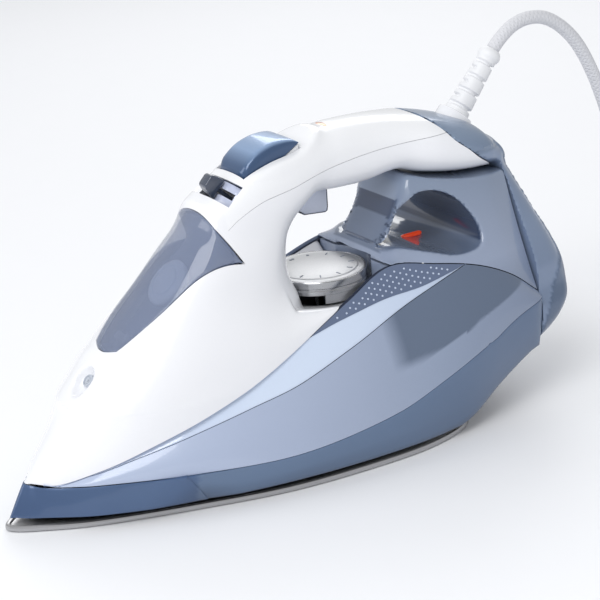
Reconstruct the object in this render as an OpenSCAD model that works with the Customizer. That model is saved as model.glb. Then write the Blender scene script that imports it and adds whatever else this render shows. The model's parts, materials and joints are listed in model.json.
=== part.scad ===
// Steam iron with a swept-back water tank, a filling door in the nose and a loop handle.
// Frame: nose towards -X, heel towards +X, soleplate face at z = 0, y = 0 is the plane of symmetry.

/* [Overall size] */
// Length from the tip of the nose to the back of the heel
body_l = 310; // [295:1:380]
// Width over the skirt at its widest
body_w = 124; // [100:1:150]
// Height from the soleplate to the top of the handle
body_h = 158; // [130:1:190]

/* [Shells] */
// Wall of the moulded shells
shell_wall = 2.4; // [1.8:0.1:3]
// Gap between neighbouring shells
shell_gap = 0.4; // [0.3:0.1:0.6]
// Wall of the clear water tank
tank_wall = 2.4; // [1.8:0.1:3]

/* [Soleplate] */
// Thickness of the soleplate
sole_t = 3; // [2.4:0.1:4]
// Radius of a steam hole
steam_hole_r = 1.5; // [1:0.1:2]
// Steam holes along each side of the nose
steam_hole_count = 7; // [4:1:9]
// Height of the heater casting
casting_h = 11; // [9:0.5:12]
// Radius of the tubular heating element
element_r = 3.2; // [2.6:0.1:3.6]
// Radius of the screws that hold the heater
screw_r = 2; // [1.5:0.1:2.5]

/* [Temperature dial] */
// Radius of the dial
dial_r = 24.5; // [21:0.5:27]
// Thickness of the dial's disc
dial_t = 2.4; // [2:0.1:3]
// Height of the chrome ring under the disc
ring_t = 5.2; // [4:0.1:6]
// Height of the finger lug under the ring
dial_lug_h = 4.6; // [3:0.1:5]
// Radius of the spindle under the dial
spindle_r = 3; // [2.5:0.1:4]
// Radial clearance of every shaft in its bearing
run_gap = 0.06; // [0.03:0.01:0.09]

/* [Controls] */
// Radius of the steam slider's shaft
slider_r = 2.5; // [2:0.1:2.8]
// Radius of the dosing needle
needle_r = 1.6; // [1.2:0.1:2]
// Radius of a pump's piston
piston_r = 3; // [2.5:0.1:3.5]
// Wall of a pump's cylinder
pump_wall = 1.2; // [0.8:0.1:1.3]
// Radius of the filling door's hinge pin
door_pin_r = 1.2; // [0.9:0.1:1.3]

/* [Cord] */
// Diameter of the cord
cord_d = 7; // [6:0.1:8]
// Radius of the strain relief where it leaves the handle
boot_r = 6.5; // [5.5:0.1:8]
// Length of the strain relief
boot_l = 40; // [30:1:50]
// Radius of a plug pin
plug_pin_r = 2.4; // [2:0.1:2.5]
// Length of a plug pin
plug_pin_l = 19; // [18:0.5:20]
// Distance between the plug pins
plug_pin_pitch = 19; // [18:0.5:20]

/* [Hidden] */
$fn = 48;
eps = 0.01;
kx = body_l / 310;
ky = body_w / 124;
kz = body_h / 158;

// A place in the body, given where it lies in an iron of 310 x 124 x 158.
function at(x, y, z) = [x * kx, y * ky, z * kz];

// Smooth curve through the points of a table, read at x.
function seg(t, x, i = 0) = i >= len(t) - 2 || x < t[i + 1][0] ? i : seg(t, x, i + 1);
function slope(t, i) =
    let (a = t[max(0, i - 1)], b = t[min(len(t) - 1, i + 1)]) (b[1] - a[1]) / (b[0] - a[0]);
function curve(t, x) =
    let (i = seg(t, x), a = t[i], b = t[i + 1], h = b[0] - a[0])
    let (u = min(1, max(0, (x - a[0]) / h)), v = 1 - u)
    a[1] * (1 + 2 * u) * v * v + slope(t, i) * h * u * v * v
    + b[1] * u * u * (3 - 2 * u) - slope(t, i + 1) * h * u * u * v;
function power(v, p) = sign(v) * pow(abs(v), p);

// Lines of the body, as tables over x. Each is a line that can be seen on it.
sole_line = [[-155, 0], [-152, 5], [-143, 11.5], [-119, 25], [-74, 41], [-26, 54], [29, 58],
    [60, 54.5], [80, 45], [88, 28], [90, 0]];
skirt_foot_y = [[-151, 1.5], [-143, 9], [-119, 28], [-75, 44], [-27, 55], [29, 58], [68, 55],
    [96, 52], [124, 49]];
skirt_foot_z = [[-151, 6], [-119, 7], [-75, 6], [-27, 6], [29, 5.5], [68, 6], [80, 10],
    [96, 20], [117, 30.5], [124, 32.5]];
skirt_top_y = [[-151, 1.5], [-141, 6], [-132, 14], [-117, 27], [-75, 46], [-27, 58], [10, 61.5],
    [45, 62], [70, 61], [92, 58.5], [114, 55], [124, 53]];
skirt_top_z = [[-151, 8], [-141, 20], [-132, 19.9], [-117, 20.8], [-75, 20.5], [-27, 20], [28, 27],
    [58, 36.5], [92, 48], [114, 51.5], [124, 52]];
border_y = [[-141, 4], [-132, 13], [-115, 24], [-92, 32], [-67, 37], [-40, 38.5], [-11, 38],
    [20, 36], [46, 33], [69, 40], [91, 45], [109, 48], [124, 49]];
border_z = [[-141, 20.9], [-132, 20.9], [-115, 27], [-92, 36], [-67, 44], [-40, 53], [-11, 65],
    [20, 80], [46, 90], [69, 87.5], [91, 82.5], [109, 74], [124, 62]];
deck_z = [[-142, 22], [-122, 42], [-103, 61], [-96, 69], [-70, 86], [-40, 92], [-11, 84],
    [20, 84], [46, 93]];
ridge_x = [[52, -114], [71.5, -96], [100, -68.5], [130, -39.5], [142, -25]];
pillar_back_x = [[52, 12], [80, 4], [94, 2], [109, 3], [123, 10], [142, 24]];
pillar_y = [[52, 37], [70, 33.5], [85, 30.5], [105, 27], [123, 21.5], [142, 17]];
handle_top = [[-38, 132], [-20, 142], [-5, 147], [11, 150], [30, 157], [45, 158], [68, 156.5],
    [89, 153], [113, 145], [125, 136]];
handle_foot = [[-38, 118], [-10, 120], [9, 123], [19, 127], [33, 126], [50, 126], [68, 128.5],
    [80, 125], [100, 121.5], [125, 120]];
handle_y = [[-38, 14], [-10, 18], [20, 18], [50, 18.5], [68, 21], [86, 27], [108, 28], [125, 24]];
lobe_z = [[46, 91.5], [48, 93.4], [51, 96.9], [56.6, 103.6], [62, 113], [66.5, 123.5], [70, 127],
    [82, 124.5], [100, 121.5], [125, 120]];
lobe_y = [[39, 16], [58, 16], [71, 19], [86, 25], [108, 28], [125, 24]];
band_foot_z = [[124, 32.5], [138, 42], [148, 53], [154, 62]];
band_y = [[124, 53], [138, 50], [148, 46], [154, 40]];

// The sloping back that the iron stands on when it is stood up: x + lean * z = back_d.
lean = 0.37;
back_d = 176.5;

// Solid between rings that all have the same number of points.
module loft(rings) {
    n = len(rings[0]);
    m = len(rings);
    polyhedron(
        points = [for (r = rings) each [for (p = r) [p.x * kx, p.y * ky, p.z * kz]]],
        faces = concat(
            [[for (i = [0:n - 1]) i]],
            [for (j = [0:m - 2]) for (i = [0:n - 1]) let (k = (i + 1) % n) each [
                [j * n + i, (j + 1) * n + k, j * n + k],
                [j * n + i, (j + 1) * n + i, (j + 1) * n + k]]],
            [[for (i = [n - 1:-1:0]) (m - 1) * n + i]]));
}
function steps(a, b, n) = [for (i = [0:n]) a + (b - a) * i / n];

// Cross-sections at x, all d inside the outer skin.
function arch(x, d) =
    let (b = max(1, curve(border_y, x) - d / ky), z0 = curve(border_z, x) - (d > 0 ? d / kz : 0))
    let (h = max(0.6, curve(deck_z, x) - d / kz - z0))
    concat(
        [[x, b, z0 - 4]],
        [for (a = [0:15:180]) [x, b * power(cos(a), 0.9), z0 + h * power(sin(a), 0.8)]],
        [[x, -b, z0 - 4]]);
function tube_ring(x, d) =
    let (zt = curve(handle_top, x) - d / kz, zb = curve(handle_foot, x) + d / kz)
    let (w = curve(handle_y, x) - d / ky, c = (zt + zb) / 2, h = (zt - zb) / 2)
    [for (a = [0:18:342]) [x, w * power(cos(a), 0.8), c + h * power(sin(a), 0.8)]];
function pillar_ring(z, d) =
    let (xf = curve(ridge_x, z) + d / kx, xb = curve(pillar_back_x, z) - d / kx)
    let (w = curve(pillar_y, z) - d / ky, c = (xf + xb) / 2, h = (xb - xf) / 2)
    [for (a = [0:15:345]) [c + h * power(cos(a), 0.85), w * power(sin(a), 0.75), z]];
function strip(y0, z0, y1, z1, bulge) =
    [for (t = [0:0.25:1]) [y0 + (y1 - y0) * t + bulge * sin(180 * t), z0 + (z1 - z0) * t]];
function mirror_ring(x, half) = concat(
    [for (p = half) [x, p[0], p[1]]],
    [for (i = [len(half) - 1:-1:0]) [x, -half[i][0], half[i][1]]]);
function skirt_ring(x, d) =
    let (y0 = curve(skirt_foot_y, x) - d / ky, z0 = curve(skirt_foot_z, x))
    let (y1 = curve(skirt_top_y, x) - d / ky, z1 = curve(skirt_top_z, x))
    mirror_ring(x, strip(max(0.5, y0), z0, max(0.5, y1), z1, 0.6));
function tank_ring(x, d) =
    let (y0 = curve(skirt_top_y, x) - d / ky, z0 = curve(skirt_top_z, x) + shell_gap / kz)
    let (y1 = curve(border_y, x) - d / ky, z1 = curve(border_z, x) - (shell_gap + d) / kz)
    mirror_ring(x, strip(max(0.5, y0), z0, max(0.5, y1), max(z0 + 0.3, z1), 3 * min(1, (x + 141) / 60)));
function cover_ring(x, d) =
    let (y0 = curve(border_y, x) - d / ky, z0 = curve(border_z, x) - (d > 0 ? 4 : 0))
    let (y1 = curve(lobe_y, x) - d / ky, z1 = curve(lobe_z, x) - shell_gap / kz - d / kz)
    mirror_ring(x, strip(y0, z0, y1, z1, -1));
function band_ring(x, d) =
    let (z0 = curve(band_foot_z, x) + d / kz, y0 = curve(skirt_foot_y, min(x, 124)) - d / ky)
    let (w = curve(band_y, x) / 53, top = (back_d - x) / lean - d / kz)
    let (zt = x < 126 ? min(135, top) : top)
    mirror_ring(x, [for (t = [0:0.125:1]) let (z = z0 + (zt - z0) * t)
        [w * curve(band_side, z) - d / ky, z]]);
band_side = [[30, 47], [40, 51], [52, 53], [62, 50], [74, 49], [86, 44], [100, 36], [120, 25],
    [136, 17]];

// The stages of the loft are where the lines bend most.
nose_x = [-151, -146, -141, -136, -131, -124, -116, -106, -95, -84, -72, -60, -48, -36, -24, -12,
    0, 12, 24, 35, 46];
tail_x = [58, 68, 78, 88, 98, 108, 116, 123.6];

// Everything above the seam that runs along the handle.
module above_seam(gap) {
    rotate([90, 0, 0])
        linear_extrude(body_w, center = true)
            polygon([for (p = [[-34, 170], [-34, 124], [-27, 128.5], [-14, 134], [3, 136.5], [20, 140],
                [44, 143], [67, 144], [98, 143.5], [110, 137], [124, 122], [140, 115], [140, 170]])
                [p[0] * kx, p[1] * kz + gap]]);
}
// The opening through the rear cover.
module window(grow) {
    rotate([90, 0, 0])
        linear_extrude(body_w, center = true)
            polygon([for (p = [[50.4, 94.4], [54.6, 97.6], [58.9, 103.3], [65, 113.5], [71.9, 118.5],
                [80.8, 118.6], [89.9, 113.9], [96.4, 104.7], [98.7, 96.4], [95.2, 89.9],
                [82.2, 88.7], [69.4, 92.2], [57.8, 95]])
                let (c = [78, 103]) [kx * (c.x + (p[0] - c.x) * grow), kz * (c.y + (p[1] - c.y) * grow)]]);
}

// Outline of the soleplate, drawn in by dx at the ends and dy at the sides.
sole_mid = -32.5;
sole_half = 122.5;
sole_side = 58;
function sole_outline(dx, dy) =
    let (fx = (sole_half - dx) / sole_half, fy = (sole_side - dy) / sole_side, n = len(sole_line))
    let (half = [for (i = [0:n - 2]) each [for (u = [0:0.25:0.99]) sole_point(i, u)]])
    let (left = [for (p = half) [kx * (sole_mid + (p[0] - sole_mid) * fx), ky * p[1] * fy]])
    concat(left, [[kx * (sole_mid + sole_half * fx), 0]],
        [for (i = [len(left) - 1:-1:1]) [left[i][0], -left[i][1]]]);
function sole_point(i, u) =
    let (n = len(sole_line), a = sole_line[i], b = sole_line[i + 1])
    let (m0 = i == 0 ? [0, 4] : (b - sole_line[i - 1]) / 2)
    let (m1 = i == n - 2 ? [0, -10] : (sole_line[i + 2] - a) / 2)
    let (v = 1 - u)
    a * (1 + 2 * u) * v * v + m0 * u * v * v + b * u * u * (3 - 2 * u) - m1 * u * u * v;
module sole_slab(dx, dy, z0, z1) {
    translate([0, 0, z0])
        linear_extrude(z1 - z0)
            polygon(sole_outline(dx, dy));
}

// Heights of the stack on the soleplate.
casting_top = sole_t + casting_h;
seal_t = 0.6;
cover_t = 1.4;
shield_z = 17;
shield_t = 2;
element_z = sole_t + 5;
tank_floor = 20.6;

// Where the controls are.
dial_pos = at(25.5, 0, 0);
dial_top = 87 * kz;
dial_foot = dial_top - dial_t - ring_t;
well_floor = dial_foot - dial_lug_h - 0.9;
well_gap = 1.6;
needle_pos = at(-16, 0, 0);
spray_pos = at(-4, 0, 0);
boost_pos = at(22, 0, 0);
fuse_pos = at(52, 0, 0);
ridge_low = at(-96, 0, 71.5);
ridge_high = at(-39.5, 0, 130);
ridge_angle = atan2(ridge_high.z - ridge_low.z, ridge_high.x - ridge_low.x);
ridge_l = norm(ridge_high - ridge_low);
slider_pos = at(-13, 0, 124.5);
slider_arm = 20;
boot_angle = 49;
boot_pos = at(112, 0, 144.5);

// Local frames: x runs up the ridge and z stands off it; z is the cord's way out; z leaves the back.
module on_ridge() {
    translate(ridge_low)
        rotate([0, -ridge_angle, 0])
            children();
}
module on_slider() {
    translate(slider_pos)
        rotate([0, -ridge_angle, 0])
            children();
}
module on_boot() {
    translate(boot_pos)
        rotate([0, 90 - boot_angle, 0])
            children();
}
module on_back(z) {
    translate([(back_d - lean * z) * kx, 0, z * kz])
        rotate([0, 90 - atan(lean * kx / kz), 0])
            children();
}
module tube(r_out, r_in, z0, z1) {
    difference() {
        translate([0, 0, z0])
            cylinder(r = r_out, h = z1 - z0);
        translate([0, 0, z0 - 1])
            cylinder(r = r_in, h = z1 - z0 + 2);
    }
}
module box(x0, x1, w, z0, z1) {
    translate([x0, -w / 2, z0])
        cube([x1 - x0, w, z1 - z0]);
}
// A helical spring with open ends, swept round its axis.
module helix(r, wire, z0, z1, turns) {
    steps_per_turn = 10;
    sides = 6;
    n = turns * steps_per_turn;
    points = [for (i = [0:n]) let (a = 360 * i / steps_per_turn) for (j = [0:sides - 1])
        let (b = 360 * j / sides, q = r + wire * cos(b))
        [q * cos(a), q * sin(a), z0 + wire + (z1 - z0 - 2 * wire) * i / n + wire * sin(b)]];
    polyhedron(points, concat(
        [[for (j = [0:sides - 1]) j]],
        [for (i = [0:n - 1]) for (j = [0:sides - 1]) let (k = (j + 1) % sides) each [
            [i * sides + j, (i + 1) * sides + k, i * sides + k],
            [i * sides + j, (i + 1) * sides + j, (i + 1) * sides + k]]],
        [[for (j = [sides - 1:-1:0]) n * sides + j]]));
}
// Makes one mesh of what it holds.
module moulded() {
    resize([0, 0, 0])
        children();
}

module soleplate() {
    color("silver")
    difference() {
        union() {
            sole_slab(1, 0.8, 0, 1);
            sole_slab(0, 0, 1, sole_t);
        }
        for (i = [0:steam_hole_count - 1]) {
            x = -122 + i * 16;
            y = curve([for (p = sole_line) if (p[0] < 40) p], x) - 11;
            for (side = [-1, 1])
                translate([x * kx, side * y * ky, -1])
                    cylinder(r = steam_hole_r, h = sole_t + 2, $fn = 20);
        }
        for (x = [-132, -124])
            translate([x * kx, 0, -1])
                cylinder(r = steam_hole_r, h = sole_t + 2, $fn = 20);
    }
}
element_side = 30;
element_bend_x = -62;
element_back_x = 84;
module element_bar(r) {
    for (side = [-1, 1])
        translate([element_bend_x * kx, side * element_side * ky, element_z])
            rotate([0, 90, 0])
                cylinder(r = r, h = (element_back_x - element_bend_x) * kx);
    translate([element_bend_x * kx, 0, element_z])
        rotate([0, 0, 90])
            rotate_extrude(angle = 180)
                translate([element_side * ky, 0])
                    circle(r);
}
chamber_back_x = 4;
module heater_casting() {
    color("darkgray")
    difference() {
        sole_slab(14, 8, sole_t, casting_top);
        intersection() {
            sole_slab(34, 34, sole_t + 3, casting_top + 1);
            box(-120 * kx, chamber_back_x * kx, body_w, 0, casting_top + 2);
        }
        element_bar(element_r);
        for (p = screw_places)
            translate([p.x, p.y, sole_t + 2])
                cylinder(r = screw_r, h = casting_h);
    }
}
screw_places = [at(-112, 0, 0), at(40, 18, 0), at(40, -18, 0)];
module heating_element() {
    color("dimgray")
        element_bar(element_r);
}
module chamber_lid(z0, z1, rim) {
    difference() {
        intersection() {
            sole_slab(28, 30, z0, z1);
            box(-130 * kx, (chamber_back_x + 4) * kx, body_w, z0 - 1, z1 + 1);
        }
        if (rim)
            intersection() {
                sole_slab(34, 34, z0 - 1, z1 + 1);
                box(-120 * kx, chamber_back_x * kx, body_w, z0 - 2, z1 + 2);
            }
    }
}
module chamber_seal() {
    color("tomato")
        chamber_lid(casting_top, casting_top + seal_t, true);
}
module chamber_cover() {
    color("gainsboro")
    difference() {
        chamber_lid(casting_top + seal_t, casting_top + seal_t + cover_t, false);
        translate([needle_pos.x, 0, 0])
            cylinder(r = 1.5, h = 40);
        translate(screw_places[0])
            cylinder(r = screw_r + 0.3, h = 40);
    }
}
thermostat_r = 12;
thermostat_top = 19.5;
module thermostat() {
    color("ivory")
    translate([dial_pos.x, 0, 0])
        difference() {
            union() {
                translate([0, 0, casting_top])
                    cylinder(r = thermostat_r, h = 1.5);
                translate([0, 0, casting_top + 1.5])
                    cylinder(r = thermostat_r - 3, h = thermostat_top - casting_top - 1.5);
            }
            translate([0, 0, casting_top + 2])
                cylinder(r = spindle_r + 0.3, h = 20);
        }
}
fuse_r = 1.4;
module thermal_fuse() {
    color("orangered") {
        translate([fuse_pos.x, -8, casting_top + fuse_r])
            rotate([-90, 0, 0])
                cylinder(r = fuse_r, h = 16);
    }
}
module sole_screws() {
    color("silver")
    for (p = screw_places)
        translate([p.x, p.y, sole_t + 2]) {
            cylinder(r = screw_r, h = shield_z + shield_t - sole_t - 2);
            translate([0, 0, shield_z + shield_t - sole_t - 2])
                cylinder(r = screw_r * 1.6, h = 1.2);
        }
}
valve_r = 4;
module heat_shield() {
    color([0.15, 0.15, 0.17])
    difference() {
        sole_slab(17, 7, shield_z, shield_z + shield_t);
        translate([dial_pos.x, 0, 0])
            cylinder(r = thermostat_r, h = 40);
        translate([needle_pos.x, 0, 0])
            cylinder(r = valve_r + 0.3, h = 40);
        for (p = screw_places)
            translate([p.x, p.y, 0])
                cylinder(r = screw_r + 0.2, h = 40);
    }
}
skirt_x = concat(nose_x, tail_x);
floor_x = 88;
module skirt() {
    color([0.23, 0.31, 0.48])
    moulded() difference() {
        loft([for (x = skirt_x) skirt_ring(x, 0)]);
        loft([for (x = skirt_x) if (x > -144) let (r = skirt_ring(x, shell_wall), n = len(r) / 2)
            [for (i = [0:2 * n - 1]) let (p = r[i], foot = i == 0 || i == 2 * n - 1)
                [p.x, p.y, i == n - 1 || i == n ? p.z + 6
                    : foot ? (x < floor_x ? p.z - 6 : p.z + shell_wall) : p.z]]]);
    }
}
function keel_ring(x, d) =
    let (y = curve(skirt_top_y, x) - (shell_wall + 1.2 + d) / ky, z1 = curve(skirt_top_z, x) + 2)
    let (z0 = max(tank_floor / kz, curve(skirt_foot_z, x) + shell_wall + 2) + d / kz)
    mirror_ring(x, [[min(y, curve(skirt_foot_y, x) - (shell_wall + 1.5 + d) / ky), z0], [y, z1]]);
keel_x = [-20, -8, 4, 16, 28, 40, 52, 64, 76, 88, 98, 108, 118];
spindle_well_r = spindle_r + 2;
module tank_form(d) {
    loft([for (x = skirt_x) if (x > -125 + 2 * d) tank_ring(min(x, 123.6 - d), d)]);
    loft([for (x = keel_x) keel_ring(min(x, 118 - d), d)]);
}
module dial_well(grow) {
    translate([dial_pos.x, 0, well_floor - grow])
        cylinder(r = dial_r + well_gap + grow, h = dial_top + 4 - well_floor + 2 * grow);
}
module water_tank() {
    color([0.55, 0.65, 0.85, 0.6])
    moulded() difference() {
        union() {
            difference() {
                tank_form(0);
                dial_well(shell_wall + shell_gap);
                pilot_pocket(0);
                difference() {
                    tank_form(tank_wall);
                    dial_well(shell_wall + shell_gap + tank_wall);
                    pilot_pocket(tank_wall);
                }
            }
            translate([dial_pos.x, 0, tank_floor + 0.5])
                cylinder(r = spindle_well_r + tank_wall, h = well_floor - shell_wall - tank_floor - 2);
        }
        translate([dial_pos.x, 0, 0])
            cylinder(r = spindle_well_r, h = 200);
        translate([needle_pos.x, 0, 0])
            cylinder(r = valve_r + 0.3, h = 200);
        translate([neck_x, 0, 40 * kz])
            cylinder(r = neck_foot_r + 0.4, h = 100);
    }
}
guide_z = 64;
module needle_guide() {
    color("white")
    translate([needle_pos.x, 0, 0]) {
        tube(valve_r, needle_r + run_gap, guide_z * kz - 6, guide_z * kz + 3);
        tube(valve_r + 2, valve_r - 0.5, guide_z * kz + 2, guide_z * kz + 3.5);
    }
}
module under_border() {
    loft([for (x = concat(nose_x, tail_x)) let (z = curve(border_z, x))
        [[x, 90, z], [x, -90, z], [x, -90, -5], [x, 90, -5]]]);
}
// Outline of the filling door on the ridge: distance up the ridge, distance to the side.
door_outline = [[2, -6], [6, -11], [25, -16.5], [52, -21.5], [72, -26], [76, -22], [80, -12], [81, 0],
    [80, 12], [76, 22], [72, 26], [52, 21.5], [25, 16.5], [6, 11], [2, 6]];
module door_prism(grow, foot) {
    k = ridge_l / 81.3;
    on_ridge()
        translate([0, 0, -24])
            linear_extrude(60)
                polygon([for (p = door_outline)
                    [(41 + (p[0] - 41) * (1 + grow / 38)) * k - (p[0] < 10 ? foot : 0),
                    p[1] * ky * (1 + grow / 24)]]);
}
pocket_x0 = -20;
pocket_x1 = 14;
pocket_w = 27;
module white_solid(d) {
    difference() {
        union() {
            loft([for (x = nose_x) if (x >= -141 + 2 * d) arch(min(x, 46 - d * 0.5), d)]);
            loft([for (z = steps(54 + d, 141, 9)) pillar_ring(z, d)]);
            loft([for (x = steps(-36 + d, 123.6 - d * 0.5, 18)) tube_ring(x, d)]);
        }
        dial_well(d);
    }
}
module housing() {
    difference() {
        white_solid(0);
        white_solid(shell_wall);
        under_border();
        door_prism(shell_gap, 5);
        translate([dial_pos.x, 0, 0])
            cylinder(r = spindle_r + 1, h = 100 * kz);
        on_ridge()
            translate([nozzle_s, 0, -30])
                cylinder(r = nozzle_r + 0.3, h = 60);
        on_slider()
            box(-6, 8.2, 28, slider_arm - 8, slider_arm + 20);
        translate([pocket_x0 * kx, -pocket_w / 2, 134 * kz])
            cube([(pocket_x1 - pocket_x0) * kx, pocket_w, 40]);
        translate([boost_pos.x - 9, -6.5, 110 * kz])
            cube([18, 13, 24 * kz]);
        translate([lamp_x * kx, 0, 140 * kz])
            cylinder(r = lamp_r + 0.2, h = 40);
        on_boot()
            translate([0, 0, -14])
                cylinder(r = boot_r + 3.4, h = 40);
    }
}
module front_housing() {
    color("whitesmoke")
    moulded() difference() {
        housing();
        above_seam(-shell_gap / 2);
    }
}
module handle_shell() {
    color("white")
    moulded() intersection() {
        housing();
        above_seam(shell_gap / 2);
    }
}
cover_x = [46.4, 49, 52, 55, 58.5, 62, 66.5, 70, 76, 82, 90, 99, 108, 116, 123.6];
module cover_solid(d) {
    difference() {
        loft([for (x = cover_x) cover_ring(min(123.6 - d * 0.5, x + d), d)]);
        dial_well(shell_gap + d);
    }
}
module rear_cover() {
    color([0.36, 0.45, 0.62, 0.8])
    moulded() difference() {
        cover_solid(0);
        difference() {
            cover_solid(shell_wall);
            window(1.1);
        }
        window(1);
    }
}
band_x = [124, 127, 131, 136, 141, 146, 150, 153.4];
plate_z = 88;
plate_w = 40;
plate_h = 44;
plate_t = 2.4;
module rear_band() {
    color([0.42, 0.52, 0.68])
    moulded() difference() {
        loft([for (x = band_x) band_ring(x, 0)]);
        loft([for (x = band_x) band_ring(x < 124.5 ? 122 : min(x, 153.4 - shell_wall), shell_wall)]);
        on_back(plate_z)
            translate([-plate_h / 2 - 0.3, -plate_w / 2 - 0.3, -12])
                cube([plate_h + 0.6, plate_w + 0.6, 30]);
    }
}
module heel_plate() {
    color([0.3, 0.38, 0.52])
    on_back(plate_z)
        difference() {
            translate([-plate_h / 2, -plate_w / 2, -plate_t])
                cube([plate_h, plate_w, plate_t]);
            for (p = heel_screw_places)
                translate([p.x, p.y, -20])
                    cylinder(r = 1.65, h = 40);
        }
}
heel_screw_places = [for (y = [-12, 12]) [0, y]];
foot_t = 1.4;
foot_r = 5;
heel_foot_places = [for (x = [-16, 16], y = [-14, 14]) [x, y]];
module heel_feet() {
    color([0.2, 0.22, 0.26])
    on_back(plate_z)
        for (p = heel_foot_places)
            translate([p.x, p.y, 0])
                cylinder(r = foot_r, h = foot_t);
}
module heel_screws() {
    color("silver")
    on_back(plate_z)
        for (p = heel_screw_places)
            translate([p.x, p.y, 0]) {
                translate([0, 0, -9])
                    cylinder(r = 1.6, h = 9);
                cylinder(r = 2.8, h = 1);
            }
}
door_t = 2;
module filling_door() {
    color([0.6, 0.7, 0.9, 0.6])
    moulded() intersection() {
        difference() {
            white_solid(0);
            white_solid(door_t);
        }
        door_prism(0, 0);
    }
}
hinge_drop = 4.6;
hinge_s = 3;
lug_w = 3;
lug_y = 4;
module at_hinge() {
    on_ridge()
        translate([hinge_s, 0, -hinge_drop])
            rotate([90, 0, 0])
                children();
}
module door_lugs() {
    color([0.5, 0.6, 0.85])
    difference() {
        for (side = [-1, 1])
            translate([0, side * lug_y, 0])
                at_hinge()
                    translate([0, 0, -lug_w / 2]) {
                        cylinder(r = door_pin_r + 1, h = lug_w);
                        translate([0, -door_pin_r - 1, 0])
                            cube([12, door_pin_r + 1, lug_w]);
                        translate([8, -1, 0])
                            cube([4, hinge_drop - door_t + 0.4, lug_w]);
                    }
        at_hinge()
            translate([0, 0, -20])
                cylinder(r = door_pin_r + run_gap, h = 40);
    }
}
module door_pin() {
    color("silver")
    at_hinge()
        translate([0, 0, -8.4])
            cylinder(r = door_pin_r, h = 16.8);
}
// Two open cradles and the bridge that joins them.
module door_bracket() {
    color([0.15, 0.16, 0.2])
    difference() {
        at_hinge() {
            for (side = [-1, 1])
                translate([-2.5, -9, side * 7.4 - 1])
                    cube([5, 9 + door_pin_r * 0.6, 2]);
            translate([-2.5, -10.6, -8.4])
                cube([5, 1.6 + eps, 16.8]);
        }
        at_hinge()
            translate([0, 0, -20])
                cylinder(r = door_pin_r, h = 40);
    }
}
neck_s = 46;
neck_r = 11.5;
neck_drop = 34;
neck_x = ridge_low.x + neck_s * cos(ridge_angle) + neck_drop * sin(ridge_angle) + 3.6;
neck_foot_r = 7;
module filler_neck() {
    color([0.35, 0.42, 0.6])
    difference() {
        union() {
            on_ridge()
                translate([neck_s, 0, -neck_drop])
                    cylinder(r = neck_r, h = neck_drop - 10);
            translate([neck_x, 0, 50 * kz])
                cylinder(r = neck_foot_r, h = 32 * kz);
        }
        on_ridge()
            translate([neck_s, 0, 2 - neck_drop])
                cylinder(r = neck_r - 1.6, h = 40);
        translate([neck_x, 0, 40 * kz])
            cylinder(r = neck_foot_r - 1.6, h = 38 * kz);
    }
}
module filler_cap() {
    color([0.3, 0.38, 0.58])
    on_ridge()
        translate([neck_s, 0, -10])
            rotate_extrude()
                polygon([[0, 0], [neck_r + 0.8, 0], [neck_r + 0.8, 2.4], [neck_r - 1.5, 4.2],
                    [neck_r - 5, 5], [0, 5.2]]);
}
nozzle_s = -13;
nozzle_r = 3.2;
module spray_nozzle() {
    color("lightgray")
    on_ridge()
        translate([nozzle_s, 0, 0])
            difference() {
                translate([0, 0, -10])
                    cylinder(r = nozzle_r, h = 10.6);
                translate([0, 0, -9])
                    cylinder(r = 0.5, h = 20, $fn = 16);
            }
}
module spray_tube() {
    color("gainsboro")
        cord_sweep([at(-98, 0, 52), at(-88, -8, 56), at(-60, -17, 68), at(-22, -17, 80),
            at(-10, -13, 98), at(-5, -6, 110), at(-4.5, -3, 111)], 1.2, 8);
}
swing = 25;
slider_l = 13.5;
bearing_wall = 1.5;
module steam_slider() {
    color([0.35, 0.38, 0.45, 0.8])
    on_slider() {
        rotate([0, 90, 0])
            translate([0, 0, 1.5 - slider_l])
                cylinder(r = slider_r, h = slider_l);
        translate([-1, -2, 0])
            cube([2, 4, slider_arm + 1]);
        translate([-5, -3.2, slider_arm + 0.4])
            cube([10, 6.4, 7.6]);
    }
}
module slider_bearing() {
    color("white")
    on_slider()
        rotate([0, 90, 0])
            for (z = [-11, -5])
                tube(slider_r + bearing_wall, slider_r + run_gap, z, z + 3);
}
track_r = 17.6;
module slider_track() {
    color([0.75, 0.78, 0.92, 0.7])
    on_slider()
        rotate([0, 90, 0])
            rotate([0, 0, 180 - 40])
                difference() {
                    rotate_extrude(angle = 80)
                        translate([track_r, -5.6])
                            square([1.4, 11.2]);
                    rotate([0, 0, 40 - swing - 9])
                        rotate_extrude(angle = 2 * swing + 18)
                            translate([track_r - 1, -1.6])
                                square([4, 3.2]);
                }
}
module dosing_needle() {
    color("silver")
    translate([needle_pos.x, 0, 0]) {
        translate([0, 0, 24])
            cylinder(r = needle_r, h = 108 * kz - 24);
        translate([0, 0, 21])
            cylinder(r1 = 0.6, r2 = needle_r, h = 3);
        translate([0, 0, 108 * kz])
            cylinder(r = 3, h = 1.5);
    }
}
module valve_seat() {
    color("darkkhaki")
    translate([needle_pos.x, 0, 0]) {
        tube(valve_r, needle_r + run_gap, 22, 27);
        tube(valve_r, 1, casting_top + seal_t + cover_t, 19);
        tube(valve_r, needle_r + 1, 18.9, 22.1);
    }
}
button_top = [[-19, 138], [-17, 149], [-10, 155], [-2, 157.6], [5, 158], [10, 157.2], [12.5, 155],
    [3, 149.5], [-6, 144], [-12, 138.2]];
module spray_button() {
    color([0.33, 0.45, 0.65])
        rotate([90, 0, 0])
            linear_extrude(25, center = true)
                polygon([for (p = button_top) [p[0] * kx, p[1] * kz]]);
}
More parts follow.
